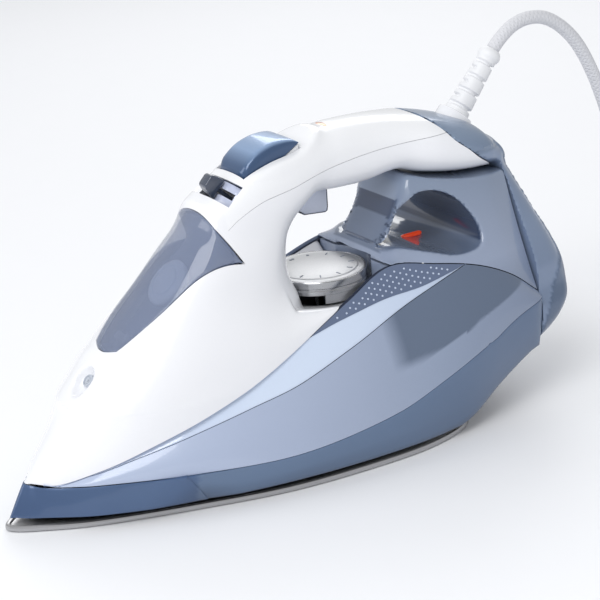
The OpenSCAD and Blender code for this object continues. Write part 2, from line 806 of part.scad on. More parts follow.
module button_base() {
    color("white")
    translate([0, 0, -0.05])
        rotate([90, 0, 0])
            linear_extrude(24, center = true)
                polygon([for (p = [[12.5, 154.8], [3, 149.3], [-6, 143.8], [-12, 138], [-12, 136.5],
                    [12.8, 136.5], [13.2, 150]]) [p[0] * kx, p[1] * kz]]);
}
pump_top = 131;
module spray_cylinder() {
    color("gainsboro")
    translate([spray_pos.x, 0, 0]) {
        tube(piston_r + run_gap + pump_wall, piston_r + run_gap, 113 * kz, pump_top * kz);
        translate([0, 0, 111.5 * kz])
            cylinder(r = piston_r + pump_wall, h = 1.5 * kz + eps);
    }
}
module spray_piston() {
    color("white")
    translate([spray_pos.x, 0, 125 * kz])
        cylinder(r = piston_r, h = 11.4 * kz);
}
module spray_spring() {
    color("silver")
    translate([spray_pos.x, 0, 0])
        helix(piston_r - 0.9, 0.35, 113.1 * kz, 124.9 * kz, 5);
}
module steam_trigger() {
    color([0.85, 0.88, 0.95, 0.8])
    translate([boost_pos.x, 0, 0])
        rotate([90, 0, 0])
            linear_extrude(12, center = true)
                polygon([for (p = [[-8.4, 124], [-6, 117], [7, 115.5], [8, 117], [8.4, 130.4],
                    [-8.4, 130.4]]) [p[0], p[1] * kz]]);
}
module boost_cylinder() {
    color("gainsboro")
    translate([boost_pos.x, 0, 0]) {
        tube(piston_r + run_gap + pump_wall, piston_r + run_gap, 134.8 * kz, 146.8 * kz);
        translate([0, 0, 146.8 * kz - eps])
            cylinder(r = piston_r + pump_wall, h = 1);
    }
}
module boost_piston() {
    color("white")
    translate([boost_pos.x, 0, 130.4 * kz])
        cylinder(r = piston_r, h = 6.6 * kz);
}
module boost_spring() {
    color("silver")
    translate([boost_pos.x, 0, 0])
        helix(piston_r - 0.9, 0.35, 137.1 * kz, 146.7 * kz, 4);
}
ring_wall = 3;
lug_start = -115;
lug_angle = 70;
module temperature_dial() {
    color("lightgray")
    translate([dial_pos.x, 0, dial_top - dial_t])
        difference() {
            union() {
                cylinder(r = dial_r - 1.1, h = dial_t, $fn = 96);
                translate([0, 0, -ring_t])
                    cylinder(r = 9, h = ring_t + eps);
            }
            translate([0, 0, -ring_t - 1])
                cylinder(r = spindle_r, h = ring_t);
        }
}
module dial_ring() {
    color("silver")
    translate([dial_pos.x, 0, dial_foot]) {
        rotate_extrude()
            polygon([[dial_r - ring_wall, 0], [dial_r, 0], [dial_r, ring_t + dial_t - 0.6],
                [dial_r - 1, ring_t + dial_t - 0.6], [dial_r - 1, ring_t], [dial_r - ring_wall, ring_t]]);
        rotate([0, 0, lug_start])
            rotate_extrude(angle = lug_angle)
                translate([dial_r - ring_wall + 0.2, -dial_lug_h])
                    square([ring_wall - 0.4, dial_lug_h + 1]);
    }
}
module dial_spindle() {
    color("silver")
    translate([dial_pos.x, 0, casting_top + 2.5])
        cylinder(r = spindle_r, h = dial_top - dial_t - 1 - casting_top - 2.5);
}
module spindle_bearing() {
    color("ivory")
    translate([dial_pos.x, 0, 0])
        tube(spindle_r + run_gap + 1.5, spindle_r + run_gap, thermostat_top, thermostat_top + 12);
}
lamp_x = 31;
lamp_r = 2.6;
module handle_lamp() {
    color("orange")
    translate([lamp_x * kx, 0, 148 * kz])
        cylinder(r = lamp_r, h = 9 * kz);
}
pilot_pos = at(76, 0, 83.4);
pilot_r = 2;
pilot_l = 14;
module heating_lamp() {
    color("orangered")
    translate(pilot_pos)
        rotate([0, 90, 0])
            cylinder(r = pilot_r, h = pilot_l);
}
module pilot_pocket(grow) {
    translate([pilot_pos.x - 2 - grow, -pilot_r - 2 - grow, pilot_pos.z - pilot_r - 0.6 - grow])
        cube([pilot_l + 4 + 2 * grow, 2 * pilot_r + 4 + 2 * grow, 40]);
}
module terminal_block() {
    color("white")
    translate(at(85, 0, 130.5))
        translate([-11, -7, 0])
            cube([22, 14, 9]);
}
module cord_collar() {
    color("whitesmoke")
    on_boot()
        tube(boot_r + 3, boot_r + 0.05, -12, 3);
}
module cord_boot() {
    color("white")
    on_boot()
        difference() {
            rotate_extrude()
                polygon([[0, -10], [boot_r, -10], [boot_r, 4], [boot_r + 0.8, 5], [boot_r + 0.8, 8],
                    [boot_r, 9], [boot_r - 1.4, boot_l - 5], [boot_r - 0.6, boot_l - 4],
                    [boot_r - 0.6, boot_l], [0, boot_l]]);
        }
}
// The free cord: out of the strain relief, over and down to the surface, then flat along it.
cord_route = [[138, 0, 174.5], [144, 0, 180], [152, 0, 185], [162, 0, 187], [173, 0, 185],
    [184, 0, 178], [194, 0, 167], [203, 0, 151], [211, 0, 131], [218, 0, 108], [225, 0, 84],
    [232, 0, 60], [241, 0, 37], [253, 0, 19], [269, 0, 8], [288, 0, 5], [310, 0, 5]];
coil_pos = [310, 42, 0];
coil_foot = 1.5;
coil_r = 38.5;
coil_layers = 4;
plug_z = coil_foot + 3 * cord_d / 2 + cord_d;
module cord_sweep(route, r, sides) {
    n = len(route);
    function dir(i) = let (a = route[max(0, i - 1)], b = route[min(n - 1, i + 1)]) (b - a) / norm(b - a);
    points = [for (i = [0:n - 1]) let (t = dir(i), s = [0, 1, 0], u = cross(t, s)) for (j = [0:sides - 1])
        route[i] + r * (cos(360 * j / sides) * s + sin(360 * j / sides) * u / norm(u))];
    polyhedron(points, concat(
        [[for (j = [0:sides - 1]) j]],
        [for (i = [0:n - 2]) for (j = [0:sides - 1]) let (k = (j + 1) % sides) each [
            [i * sides + j, (i + 1) * sides + k, i * sides + k],
            [i * sides + j, (i + 1) * sides + j, (i + 1) * sides + k]]],
        [[for (j = [sides - 1:-1:0]) (n - 1) * sides + j]]));
}
module power_cord() {
    color("whitesmoke")
        cord_sweep(cord_route, cord_d / 2, 10);
}
module cord_coil() {
    color("whitesmoke")
    translate(coil_pos)
        translate([0, 0, coil_foot])
            rotate_extrude($fn = 96)
                translate([coil_r - cord_d, 0])
                    square([2 * cord_d, coil_layers * cord_d]);
}
module cord_tie() {
    color("dimgray")
    translate(coil_pos)
        rotate([0, 0, 90])
            difference() {
                translate([coil_r - cord_d - 1.4, -4, 0])
                    cube([2 * cord_d + 2.8, 8, coil_foot + coil_layers * cord_d + 1.4]);
                translate([coil_r - cord_d - 0.5, -5, coil_foot - 0.1])
                    cube([2 * cord_d + 1, 10, coil_layers * cord_d + 0.6]);
            }
}
plug_l = 36;
relief_l = 22;
plug_r = 18;
module on_plug() {
    translate([coil_pos.x + coil_r + cord_d / 2, coil_pos.y + 6 + relief_l + plug_l, plug_z])
        rotate([-90, 0, 0])
            children();
}
module plug_body() {
    color("whitesmoke")
    on_plug()
        rotate_extrude()
            polygon([[0, 0], [plug_r, 0], [plug_r, -9], [plug_r - 4, -14], [plug_r - 5, -plug_l + 6],
                [plug_r - 9, -plug_l], [6, -plug_l], [4.2, -plug_l - relief_l], [0, -plug_l - relief_l]]);
}
module plug_pins() {
    color("silver")
    on_plug()
        for (side = [-1, 1])
            translate([side * plug_pin_pitch / 2, 0, 0])
                cylinder(r = plug_pin_r, h = plug_pin_l);
}

soleplate();
heater_casting();
heating_element();
chamber_seal();
chamber_cover();
thermostat();
thermal_fuse();
sole_screws();
heat_shield();
skirt();
water_tank();
needle_guide();
front_housing();
handle_shell();
rear_cover();
rear_band();
heel_plate();
heel_feet();
heel_screws();
filling_door();
door_lugs();
door_pin();
door_bracket();
filler_neck();
filler_cap();
spray_nozzle();
spray_tube();
steam_slider();
slider_bearing();
slider_track();
dosing_needle();
valve_seat();
spray_button();
button_base();
spray_cylinder();
spray_piston();
spray_spring();
steam_trigger();
boost_cylinder();
boost_piston();
boost_spring();
temperature_dial();
dial_ring();
dial_spindle();
spindle_bearing();
handle_lamp();
heating_lamp();
terminal_block();
cord_collar();
cord_boot();
power_cord();
cord_coil();
cord_tie();
plug_body();
plug_pins();
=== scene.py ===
import json
import math

import bmesh
import bpy
import numpy as np
from mathutils import Matrix, Vector

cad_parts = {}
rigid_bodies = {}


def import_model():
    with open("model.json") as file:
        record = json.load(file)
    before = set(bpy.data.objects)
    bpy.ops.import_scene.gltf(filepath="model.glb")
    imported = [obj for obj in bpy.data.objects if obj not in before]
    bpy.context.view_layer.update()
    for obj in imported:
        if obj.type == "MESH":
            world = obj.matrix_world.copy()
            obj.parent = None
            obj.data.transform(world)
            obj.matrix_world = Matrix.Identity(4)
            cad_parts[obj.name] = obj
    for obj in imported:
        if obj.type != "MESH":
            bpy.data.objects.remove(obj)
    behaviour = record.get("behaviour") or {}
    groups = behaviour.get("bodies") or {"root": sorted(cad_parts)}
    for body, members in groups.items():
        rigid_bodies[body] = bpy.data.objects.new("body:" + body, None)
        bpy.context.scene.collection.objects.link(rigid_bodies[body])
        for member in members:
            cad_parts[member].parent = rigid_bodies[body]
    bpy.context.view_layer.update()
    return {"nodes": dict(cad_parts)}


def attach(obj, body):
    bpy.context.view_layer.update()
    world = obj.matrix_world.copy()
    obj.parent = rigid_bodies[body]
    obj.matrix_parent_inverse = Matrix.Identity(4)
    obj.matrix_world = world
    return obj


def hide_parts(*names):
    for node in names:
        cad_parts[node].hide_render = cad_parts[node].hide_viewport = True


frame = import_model()
nodes = frame["nodes"]

# Sizes below are millimetres in the frame's own axes, and every mesh is scaled to metres once.
MM = 0.001

# ---------------------------------------------------------------- camera and cord


CAMERA_TURN = (-30.976, 19.948, -4.403)
CAMERA_EYE = (-0.48766, -0.83565, 0.42539)
CAMERA_LENS = 125.9


def camera():
    """The photograph's view; the turn is azimuth, elevation and roll in degrees."""
    azimuth, elevation, roll = (math.radians(v) for v in CAMERA_TURN)
    back = Vector((math.sin(azimuth) * math.cos(elevation),
                   -math.cos(azimuth) * math.cos(elevation), math.sin(elevation)))
    right = Vector((0, 0, 1)).cross(back).normalized()
    up = back.cross(right)
    side = right * math.cos(roll) + up * math.sin(roll)
    top = up * math.cos(roll) - right * math.sin(roll)
    data = bpy.data.cameras.new("camera")
    data.lens = CAMERA_LENS
    data.sensor_width = 36
    eye = bpy.data.objects.new("camera", data)
    turn = Matrix((side, top, back)).transposed().to_4x4()
    eye.matrix_world = Matrix.Translation(CAMERA_EYE) @ turn
    bpy.context.scene.collection.objects.link(eye)
    bpy.context.scene.camera = eye


camera()

CORD_D = 7.0
CORD_ROUTE = [
    (138, 0, 174.5), (144, 0, 180), (152, 0, 185), (162, 0, 187), (173, 0, 185), (184, 0, 178),
    (194, 0, 167), (203, 0, 151), (211, 0, 131), (218, 0, 108), (225, 0, 84), (232, 0, 60),
    (241, 0, 37), (253, 0, 19), (269, 0, 8), (288, 0, 5), (310, 0, 5)]
COIL_CENTRE = (310.0, 42.0)
COIL_FOOT = 1.5
COIL_INNER_R = 35


def smooth_route(points, per_span):
    """A smooth line through given points."""
    p = np.array(points, float)
    p = np.vstack([2 * p[0] - p[1], p, 2 * p[-1] - p[-2]])
    out = []
    for a, b, c, d in zip(p[:-3], p[1:-2], p[2:-1], p[3:]):
        for t in np.arange(per_span) / per_span:
            out.append(0.5 * (2 * b + (c - a) * t + (2 * a - 5 * b + 4 * c - d) * t ** 2
                              + (3 * b - a - 3 * c + d) * t ** 3))
    return out + [p[-2]]


# Where each turn of the coil ends up, as a column (0 inner, 1 outer) and a layer. A turn changes
# place 40 degrees before the one under it did, and moves sideways before it goes down.
COIL_PLACES = [(1, 0), (1, 1), (0, 0), (0, 1), (0, 2), (0, 3), (1, 2)]
COIL_STEP = 40


def coil_points():
    """The cord's line round the coil, from its first turn to its way into the plug."""
    out = []

    def place(i):
        column, layer = COIL_PLACES[i]
        return COIL_INNER_R + CORD_D * column, COIL_FOOT + CORD_D * (layer + 0.5)

    for turn in range(len(COIL_PLACES)):
        last = turn == len(COIL_PLACES) - 1
        for degree in range(6 if turn == 0 else 0, 91 if last else 360, 6):
            radius, height = place(turn)
            if not last:
                start = 360 - COIL_STEP * (turn + 1)
                t = min(1, max(0, (degree - start) / COIL_STEP))
                new_radius, new_height = place(turn + 1)
                first, second = (min(1, 2 * t), max(0, 2 * t - 1))
                if new_height > height or new_radius == radius:
                    first = second = t
                ease = [s * s * (3 - 2 * s) for s in (first, second)]
                radius += (new_radius - radius) * ease[0]
                height += (new_height - height) * ease[1]
            angle = math.radians(degree - 90)
            out.append((COIL_CENTRE[0] + radius * math.cos(angle),
                        COIL_CENTRE[1] + radius * math.sin(angle), height))
    x, y, z = out[-1]
    out.append((x, y + 4, z))
    out.append((x, y + 9, z))
    return out


def new_piece(name, points, faces):
    """An object with a mesh of points in millimetres."""
    mesh = bpy.data.meshes.new(name)
    mesh.from_pydata((np.array(points, float).reshape(-1, 3) * MM).tolist(), [], faces)
    mesh.update()
    piece = bpy.data.objects.new(name, mesh)
    bpy.context.scene.collection.objects.link(piece)
    return piece


def smooth(piece):
    for face in piece.data.polygons:
        face.use_smooth = True
    return piece


def rings_mesh(name, rings, uv=None):
    """A closed tube through rings of points, with a UV map along and round it if asked for."""
    rings = np.array(rings, float)
    m, n = rings.shape[:2]
    faces = []
    for j in range(m - 1):
        for i in range(n):
            k = (i + 1) % n
            faces.append((j * n + i, j * n + k, (j + 1) * n + k, (j + 1) * n + i))
    faces.append(tuple(range(n - 1, -1, -1)))
    faces.append(tuple((m - 1) * n + i for i in range(n)))
    piece = new_piece(name, rings, faces)
    mesh = piece.data
    if uv is not None:
        layer = mesh.uv_layers.new(name="along")
        for face in mesh.polygons:
            if len(face.vertices) != 4:
                continue
            for loop in face.loop_indices:
                v = mesh.loops[loop].vertex_index
                j, i = divmod(v, n)
                u = i / n
                if i == 0 and face.vertices[1] % n == 0:
                    u = 1.0
                layer.data[loop].uv = (u, uv[j])
    return smooth(piece)


def cord_tube(name, path, radius, sides=16):
    """A round tube along a path, and its length in metres."""
    p = np.array(path, float)
    tangent = np.gradient(p, axis=0)
    tangent /= np.linalg.norm(tangent, axis=1)[:, None]
    side = np.array([0.0, 1.0, 0.0])
    rings = []
    for point, t in zip(p, tangent):
        side = side - t * side.dot(t)
        side /= np.linalg.norm(side)
        up = np.cross(t, side)
        rings.append([point + radius * (math.cos(a) * side + math.sin(a) * up)
                      for a in np.arange(sides) * math.tau / sides])
    along = np.concatenate([[0], np.cumsum(np.linalg.norm(np.diff(p, axis=0), axis=1))])
    return rings_mesh(name, rings, uv=along * MM), float(along[-1]) * MM

# ---------------------------------------------------------------- lines of the body

# Each table is a line that can be seen on the body, over x, as the CAD model has it.
BORDER_Y = [(-141, 4), (-132, 13), (-115, 24), (-92, 32), (-67, 37), (-40, 38.5), (-11, 38),
            (20, 36), (46, 33), (69, 40), (91, 45), (109, 48), (124, 49)]
BORDER_Z = [(-141, 20.9), (-132, 20.9), (-115, 27), (-92, 36), (-67, 44), (-40, 53), (-11, 65),
            (20, 80), (46, 90), (69, 87.5), (91, 82.5), (109, 74), (124, 62)]
DECK_Z = [(-142, 22), (-122, 42), (-103, 61), (-96, 69), (-70, 86), (-40, 92), (-11, 84),
          (20, 84), (46, 93)]
RIDGE_X = [(52, -114), (71.5, -96), (100, -68.5), (130, -39.5), (142, -25)]
PILLAR_BACK_X = [(52, 12), (80, 4), (94, 2), (109, 3), (123, 10), (142, 24)]
PILLAR_Y = [(52, 37), (70, 33.5), (85, 30.5), (105, 27), (123, 21.5), (142, 17)]
HANDLE_TOP = [(-38, 132), (-20, 142), (-5, 147), (11, 150), (30, 157), (45, 158), (68, 156.5),
              (89, 153), (113, 145), (125, 136)]
HANDLE_FOOT = [(-38, 118), (-10, 120), (9, 123), (19, 127), (33, 126), (50, 126), (68, 128.5),
               (80, 125), (100, 121.5), (125, 120)]
HANDLE_Y = [(-38, 14), (-10, 18), (20, 18), (50, 18.5), (68, 21), (86, 27), (108, 28), (125, 24)]
LOBE_Z = [(46, 91.5), (48, 93.4), (51, 96.9), (56.6, 103.6), (62, 113), (66.5, 123.5), (70, 127),
          (82, 124.5), (100, 121.5), (125, 120)]
LOBE_Y = [(39, 16), (58, 16), (71, 19), (86, 25), (108, 28), (125, 24)]
SKIRT_FOOT_Y = [(-151, 1.5), (-143, 9), (-119, 28), (-75, 44), (-27, 55), (29, 58), (68, 55),
                (96, 52), (124, 49)]
SKIRT_FOOT_Z = [(-151, 6), (-119, 7), (-75, 6), (-27, 6), (29, 5.5), (68, 6), (80, 10),
                (96, 20), (117, 30.5), (124, 32.5)]
SKIRT_TOP_Y = [(-151, 1.5), (-141, 6), (-132, 14), (-117, 27), (-75, 46), (-27, 58), (10, 61.5),
               (45, 62), (70, 61), (92, 58.5), (114, 55), (124, 53)]
SKIRT_TOP_Z = [(-151, 8), (-141, 20), (-132, 19.9), (-117, 20.8), (-75, 20.5), (-27, 20), (28, 27),
               (58, 36.5), (92, 48), (114, 51.5), (124, 52)]
BAND_FOOT_Z = [(124, 32.5), (138, 42), (148, 53), (154, 62)]
BAND_Y = [(124, 53), (138, 50), (148, 46), (154, 40)]
BAND_SIDE = [(30, 47), (40, 51), (52, 53), (62, 50), (74, 49), (86, 44), (100, 36), (120, 25),
             (136, 17)]
SOLE_LINE = [(-155, 0), (-152, 5), (-143, 11.5), (-119, 25), (-74, 41), (-26, 54), (29, 58),
             (60, 54.5), (80, 45), (88, 28), (90, 0)]
# Where the blue band starts on the handle, and the lower and upper edge of the tank's window.
BAND_SEAM_X = [(118, 124), (124, 117.5), (130, 108), (136, 101), (142, 93.5), (149, 88), (158, 79)]
WINDOW_Z = [(-136, 21.4), (-122, 24), (-98, 31.2), (-70, 38.2), (-44, 43.8), (-18, 49.5),
            (11, 59.4), (43, 71), (67, 79.3), (85, 84.4)]
GRILLE_Z = [(-4, 67.6), (12, 72), (35, 76.4), (56, 78.6), (70, 81.4), (85, 84.4)]
WALL = 2.4
# Ends of the main forms along x, and what sits where on the ridge or over x.
ARCH_NOSE_X = -143.4
ARCH_END_X = 46
HANDLE_START_X = -36
COVER_FRONT_X = 46.5
BAND_FRONT_X = 124
NOZZLE_S = -13
CAP_S = 46
TRIGGER_X = 22
LAMP_X = 32.5
PILOT = (76, 83.4)
PLUG = (352, 106, 19)
BACK_LEAN = 0.37
BACK_D = 176.5
DIAL_X = 25.5
DIAL_R = 24.5
DIAL_TOP = 87.0
WELL_R = DIAL_R + 1.6
WELL_FLOOR = 73.9
RIDGE_LOW = np.array([-96.0, 0.0, 71.5])
RIDGE_HIGH = np.array([-39.5, 0.0, 130.0])
RIDGE_L = float(np.linalg.norm(RIDGE_HIGH - RIDGE_LOW))
UP_RIDGE = (RIDGE_HIGH - RIDGE_LOW) / RIDGE_L
OFF_RIDGE = np.array([-UP_RIDGE[2], 0.0, UP_RIDGE[0]])
SLIDER = np.array([-13.0, 0.0, 124.5])
BOOT = np.array([112.0, 0.0, 144.5])
BOOT_ANGLE = math.radians(49)
BOOT_OUT = np.array([math.cos(BOOT_ANGLE), 0.0, math.sin(BOOT_ANGLE)])


def curve(table, x):
    """Smooth curve through the points of a table, read at x."""
    t = np.array(table, float)
    xs, ys = t[:, 0], t[:, 1]
    n = len(t)
    before = np.maximum(np.arange(n) - 1, 0)
    after = np.minimum(np.arange(n) + 1, n - 1)
    slope = (ys[after] - ys[before]) / (xs[after] - xs[before])
    x = np.asarray(x, float)
    i = np.clip(np.searchsorted(xs, x, side="right") - 1, 0, n - 2)
    h = xs[i + 1] - xs[i]
    u = np.clip((x - xs[i]) / h, 0, 1)
    v = 1 - u
    return (ys[i] * (1 + 2 * u) * v * v + slope[i] * h * u * v * v
            + ys[i + 1] * u * u * (3 - 2 * u) - slope[i + 1] * h * u * u * v)


def at(table, x):
    return float(curve(table, x))


# ---------------------------------------------------------------- solids given by a field


def soft_min(a, b, r):
    h = np.maximum(r - np.abs(a - b), 0) / r
    return np.minimum(a, b) - h * h * r / 4


def soft_max(a, b, r):
    return -soft_min(-a, -b, r)


def distance(field, x, y, z, h=0.4):
    """Turns a field that is zero on a surface into about the distance from it."""
    gx = field(x + h, y, z) - field(x - h, y, z)
    gy = field(x, y + h, z) - field(x, y - h, z)
    gz = field(x, y, z + h) - field(x, y, z - h)
    steep = np.sqrt(gx * gx + gy * gy + gz * gz) / (2 * h)
    return np.clip(field(x, y, z) / np.maximum(steep, 0.01), -40, 40)


def arch_field(x, y, z):
    """The nose deck: an arch over the border line, drawn together at its nose."""
    t = np.clip((x - ARCH_NOSE_X) / 8, 0.004, 1)
    shrink = np.sqrt(1 - (1 - t) ** 2)
    foot = curve(BORDER_Z, x)
    half = curve(BORDER_Y, x) * shrink
    high = np.maximum(curve(DECK_Z, x) - foot, 1) * shrink
    return ((np.abs(y) / half) ** 2.22 + (np.maximum(z - foot, 0) / high) ** 2.5) ** 0.42 - 1


def pillar_field(x, y, z):
    """The front pillar, as an oval section at each height."""
    front, back = curve(RIDGE_X, z), curve(PILLAR_BACK_X, z)
    middle, half = (front + back) / 2, (back - front) / 2
    return ((np.abs(x - middle) / half) ** 2.35 + (np.abs(y) / curve(PILLAR_Y, z)) ** 2.67) ** 0.4 - 1


def handle_field(x, y, z):
    """The handle, as an oval section at each x."""
    top, foot = curve(HANDLE_TOP, x), curve(HANDLE_FOOT, x)
    middle, half = (top + foot) / 2, (top - foot) / 2
    return ((np.abs(y) / curve(HANDLE_Y, x)) ** 2.5 + (np.abs(z - middle) / half) ** 2.5) ** 0.4 - 1


def well_distance(x, y, z, grow=0.0):
    """The round well that the dial turns in."""
    r = np.sqrt((x - DIAL_X) ** 2 + y * y) - WELL_R - grow
    return soft_max(soft_max(r, WELL_FLOOR - grow - z, 2), z - DIAL_TOP - 4, 1)


NOZZLE = RIDGE_LOW + NOZZLE_S * UP_RIDGE
DIMPLE_R = 6.4
DIMPLE_UP = 3.2
DISH_FLOOR_Z = 74.6


def body_distance(x, y, z):
    """The white body: nose deck, front pillar and handle in one, with the dial's well."""
    handle = np.maximum(distance(handle_field, x, y, z), HANDLE_START_X - x)
    pillar = soft_max(distance(pillar_field, x, y, z), z - curve(HANDLE_TOP, x) + 0.3, 3)
    arch = soft_max(distance(arch_field, x, y, z), x - ARCH_END_X, 1.5)
    body = soft_min(soft_min(pillar, handle, 12), arch, 14)
    dx, dz = x - NOZZLE[0], z - NOZZLE[2]
    along = dx * UP_RIDGE[0] + dz * UP_RIDGE[2]
    off = dx * OFF_RIDGE[0] + dz * OFF_RIDGE[2]
    drop = np.where(along < 0, 0.62, 1.0)
    dimple = np.sqrt((along * drop) ** 2 + y * y + (off - DIMPLE_UP) ** 2) - DIMPLE_R
    from_dial = np.sqrt((x - DIAL_X) ** 2 + y * y)
    near_border = curve(BORDER_Z, x) + 1 - 0.8 * (curve(BORDER_Y, x) - np.abs(y))
    dish = (np.maximum(DISH_FLOOR_Z + 0.3 * (from_dial - WELL_R), near_border) - z) * 0.8
    dish = np.maximum(soft_max(dish, -6 - x, 1), 3 - pillar)
    dish = np.maximum(np.maximum(dish, z - 100), x - ARCH_END_X - 1)
    return soft_max(soft_max(soft_max(body, -dimple, 1.2), -dish, 3), -well_distance(x, y, z), 1)


WINDOW = [(50.6, 94.4), (54.6, 97.6), (58.9, 103.3), (65, 113.5), (71.9, 118.5), (80.8, 118.6),
          (89.9, 113.9), (96.4, 104.7), (98.7, 96.4), (95.2, 89.9), (82.2, 88.7), (69.4, 92.2),
          (57.8, 95)]


def closed_curve(points, per_span):
    """A smooth closed line through points in a plane."""
    p = np.array(points, float)
    out = []
    for i in range(len(p)):
        a, b, c, d = (p[(i + k) % len(p)] for k in (-1, 0, 1, 2))
        for t in np.arange(per_span) / per_span:
            out.append(0.5 * (2 * b + (c - a) * t + (2 * a - 5 * b + 4 * c - d) * t ** 2
                              + (3 * b - a - 3 * c + d) * t ** 3))
    return np.array(out)


def flat_distance(outline, u, v):
    """Distance from a closed outline in a plane, negative inside it."""
    best = np.full(np.broadcast(u, v).shape, 1e9)
    inside = np.zeros(best.shape, bool)
    for a, b in zip(outline, np.roll(outline, -1, axis=0)):
        du, dv = b - a
        t = np.clip(((u - a[0]) * du + (v - a[1]) * dv) / (du * du + dv * dv), 0, 1)
        best = np.minimum(best, (u - a[0] - t * du) ** 2 + (v - a[1] - t * dv) ** 2)
        if dv:
            cross = (a[1] > v) != (b[1] > v)
            inside ^= cross & (u < du * (v - a[1]) / dv + a[0])
    return np.where(inside, -1, 1) * np.sqrt(best)


WINDOW_LINE = closed_curve(WINDOW, 4)


def cover_side(x, y, z):
    foot, top = curve(BORDER_Z, x), curve(LOBE_Z, x)
    t = np.clip((z - foot) / (top - foot), 0, 1)
    low, high = curve(BORDER_Y, x), curve(LOBE_Y, x)
    return np.abs(y) - (low + (high - low) * t - np.sin(math.pi * t))


def cover_top(x, y, z):
    return z - curve(LOBE_Z, x) + 0.4 + 0 * y


def cover_distance(x, y, z):
    """The clear blue cover behind the hand gap, with the window through it."""
    solid = soft_max(distance(cover_side, x, y, z), distance(cover_top, x, y, z), 2)
    solid = soft_max(solid, -flat_distance(WINDOW_LINE, x, z), 1.6)
    solid = soft_max(solid, -well_distance(x, y, z, 0.4), 1)
    return np.maximum(solid, COVER_FRONT_X - x)


def band_side(x, y, z):
    return np.abs(y) - curve(BAND_Y, x) / 53 * curve(BAND_SIDE, z)


def band_distance(x, y, z):
    """The blue band at the back, with its tongue over the end of the handle."""
    side = distance(band_side, x, y, z)
    foot = distance(lambda x, y, z: curve(BAND_FOOT_Z, x) - z + 0 * y, x, y, z)
    back = (x + BACK_LEAN * z - BACK_D) / math.hypot(1, BACK_LEAN)
    trunk = soft_max(soft_max(soft_max(side, foot, 8), back, 12), BAND_FRONT_X - x, 0.4)
    trunk = soft_max(trunk, z - 135, 3)
    handle = soft_max(distance(handle_field, np.minimum(x, BAND_FRONT_X), y, z), back, 12)
    seam = (curve(BAND_SEAM_X, z) - x) * 0.8
    tongue = np.maximum(handle, seam)
    return np.maximum(soft_min(trunk, tongue, 5), np.where(z > 118, seam, BAND_FRONT_X - x))


def edge_crossings(values):
    """For each cell of a grid, the sum of the places where its edges cross zero, and their count."""
    shape = np.array(values.shape) - 1
    total = np.zeros(tuple(shape) + (3,))
    count = np.zeros(shape)
    offsets = [(i, j, k) for i in (0, 1) for j in (0, 1) for k in (0, 1)]

    def corner(o):
        return tuple(slice(o[a], o[a] + shape[a]) for a in range(3))

    for o in offsets:
        for axis in range(3):
            if o[axis]:
                continue
            end = tuple(o[a] + (a == axis) for a in range(3))
            a, b = values[corner(o)], values[corner(end)]
            cross = (a < 0) != (b < 0)
            t = np.where(cross, a / np.where(cross, a - b, 1), 0)
            for d in range(3):
                total[..., d] += np.where(cross, o[d] + (t if d == axis else 0), 0)
            count += cross
    return total, count


def faces_along(axis, solid, index):
    """A face round each grid edge along the axis that leaves or enters the solid."""
    u, v = [(1, 2), (2, 0), (0, 1)][axis]
    low = [slice(1, -1)] * 3
    low[axis] = slice(0, -1)
    high = list(low)
    high[axis] = slice(1, None)
    a, b = solid[tuple(low)], solid[tuple(high)]
    faces = []
    for flips, order in ((a & ~b, 1), (~a & b, -1)):
        where = np.argwhere(flips)
        where[:, [u, v]] += 1
        quad = []
        for du, dv in ((0, 0), (-1, 0), (-1, -1), (0, -1)):
            cell = where.copy()
            cell[:, u] += du
            cell[:, v] += dv
            quad.append(index[tuple(cell.T)])
        faces.append(np.stack(quad[::order], axis=1))
    return faces


def surface_net(values, origin, step):
    """Points and faces of the surface where a field on a grid changes sign."""
    total, count = edge_crossings(values)
    mixed = count > 0
    index = np.full(mixed.shape, -1)
    index[mixed] = np.arange(mixed.sum())
    points = (np.argwhere(mixed) + total[mixed] / count[mixed][:, None]) * step + origin
    solid = values < 0
    return points, np.concatenate([f for axis in range(3) for f in faces_along(axis, solid, index)])


def drawn_to_surface(points, field, offset, longest, h=0.05):
    """Moves points onto the place where field + offset is zero, in three steps down its slope."""
    for _ in range(3):
        base = field(*points.T) + offset
        slope = np.stack([field(*(points + h * e).T) + offset - base for e in np.eye(3)], axis=1) / h
        steep = np.maximum((slope ** 2).sum(axis=1), 0.05)
        move = -slope * (base / steep)[:, None]
        far = np.linalg.norm(move, axis=1)
        move *= np.minimum(1, longest / np.maximum(far, 1e-9))[:, None]
        points = points + move
    return points


def field_solid(name, field, low, high, step, offset=0.0):
    """A closed mesh of the place where field + offset is below zero."""
    low, high = np.array(low, float), np.array(high, float)
    size = np.ceil((high - low) / step).astype(int) + 1
    axes = [low[i] + step * np.arange(size[i]) for i in range(3)]
    x, y, z = axes[0][:, None, None], axes[1][None, :, None], axes[2][None, None, :]
    values = np.array(np.broadcast_to(field(x, y, z) + offset, tuple(size)))
    for axis in range(3):
        end = [slice(None)] * 3
        for side in (0, -1):
            end[axis] = side
            values[tuple(end)] = np.maximum(values[tuple(end)], 0.5 * step)
    points, faces = surface_net(values, low, step)
    inner = np.all((points > low + 1.6 * step) & (points < high - 1.6 * step), axis=1)
    points[inner] = drawn_to_surface(points[inner], field, offset, 0.6 * step)
    return new_piece(name, points, faces.tolist())


def hollow_solid(name, field, low, high, step, inner_step, inner_field=None, wall=None):
    """A shell of even wall thickness: the field's solid with its drawn-in copy inside out in it."""
    solid = field_solid(name, field, low, high, step)
    hollow = field_solid("hollow", inner_field or field, low, high, inner_step, offset=wall or WALL)
    hollow.data.flip_normals()
    return join(solid, hollow)


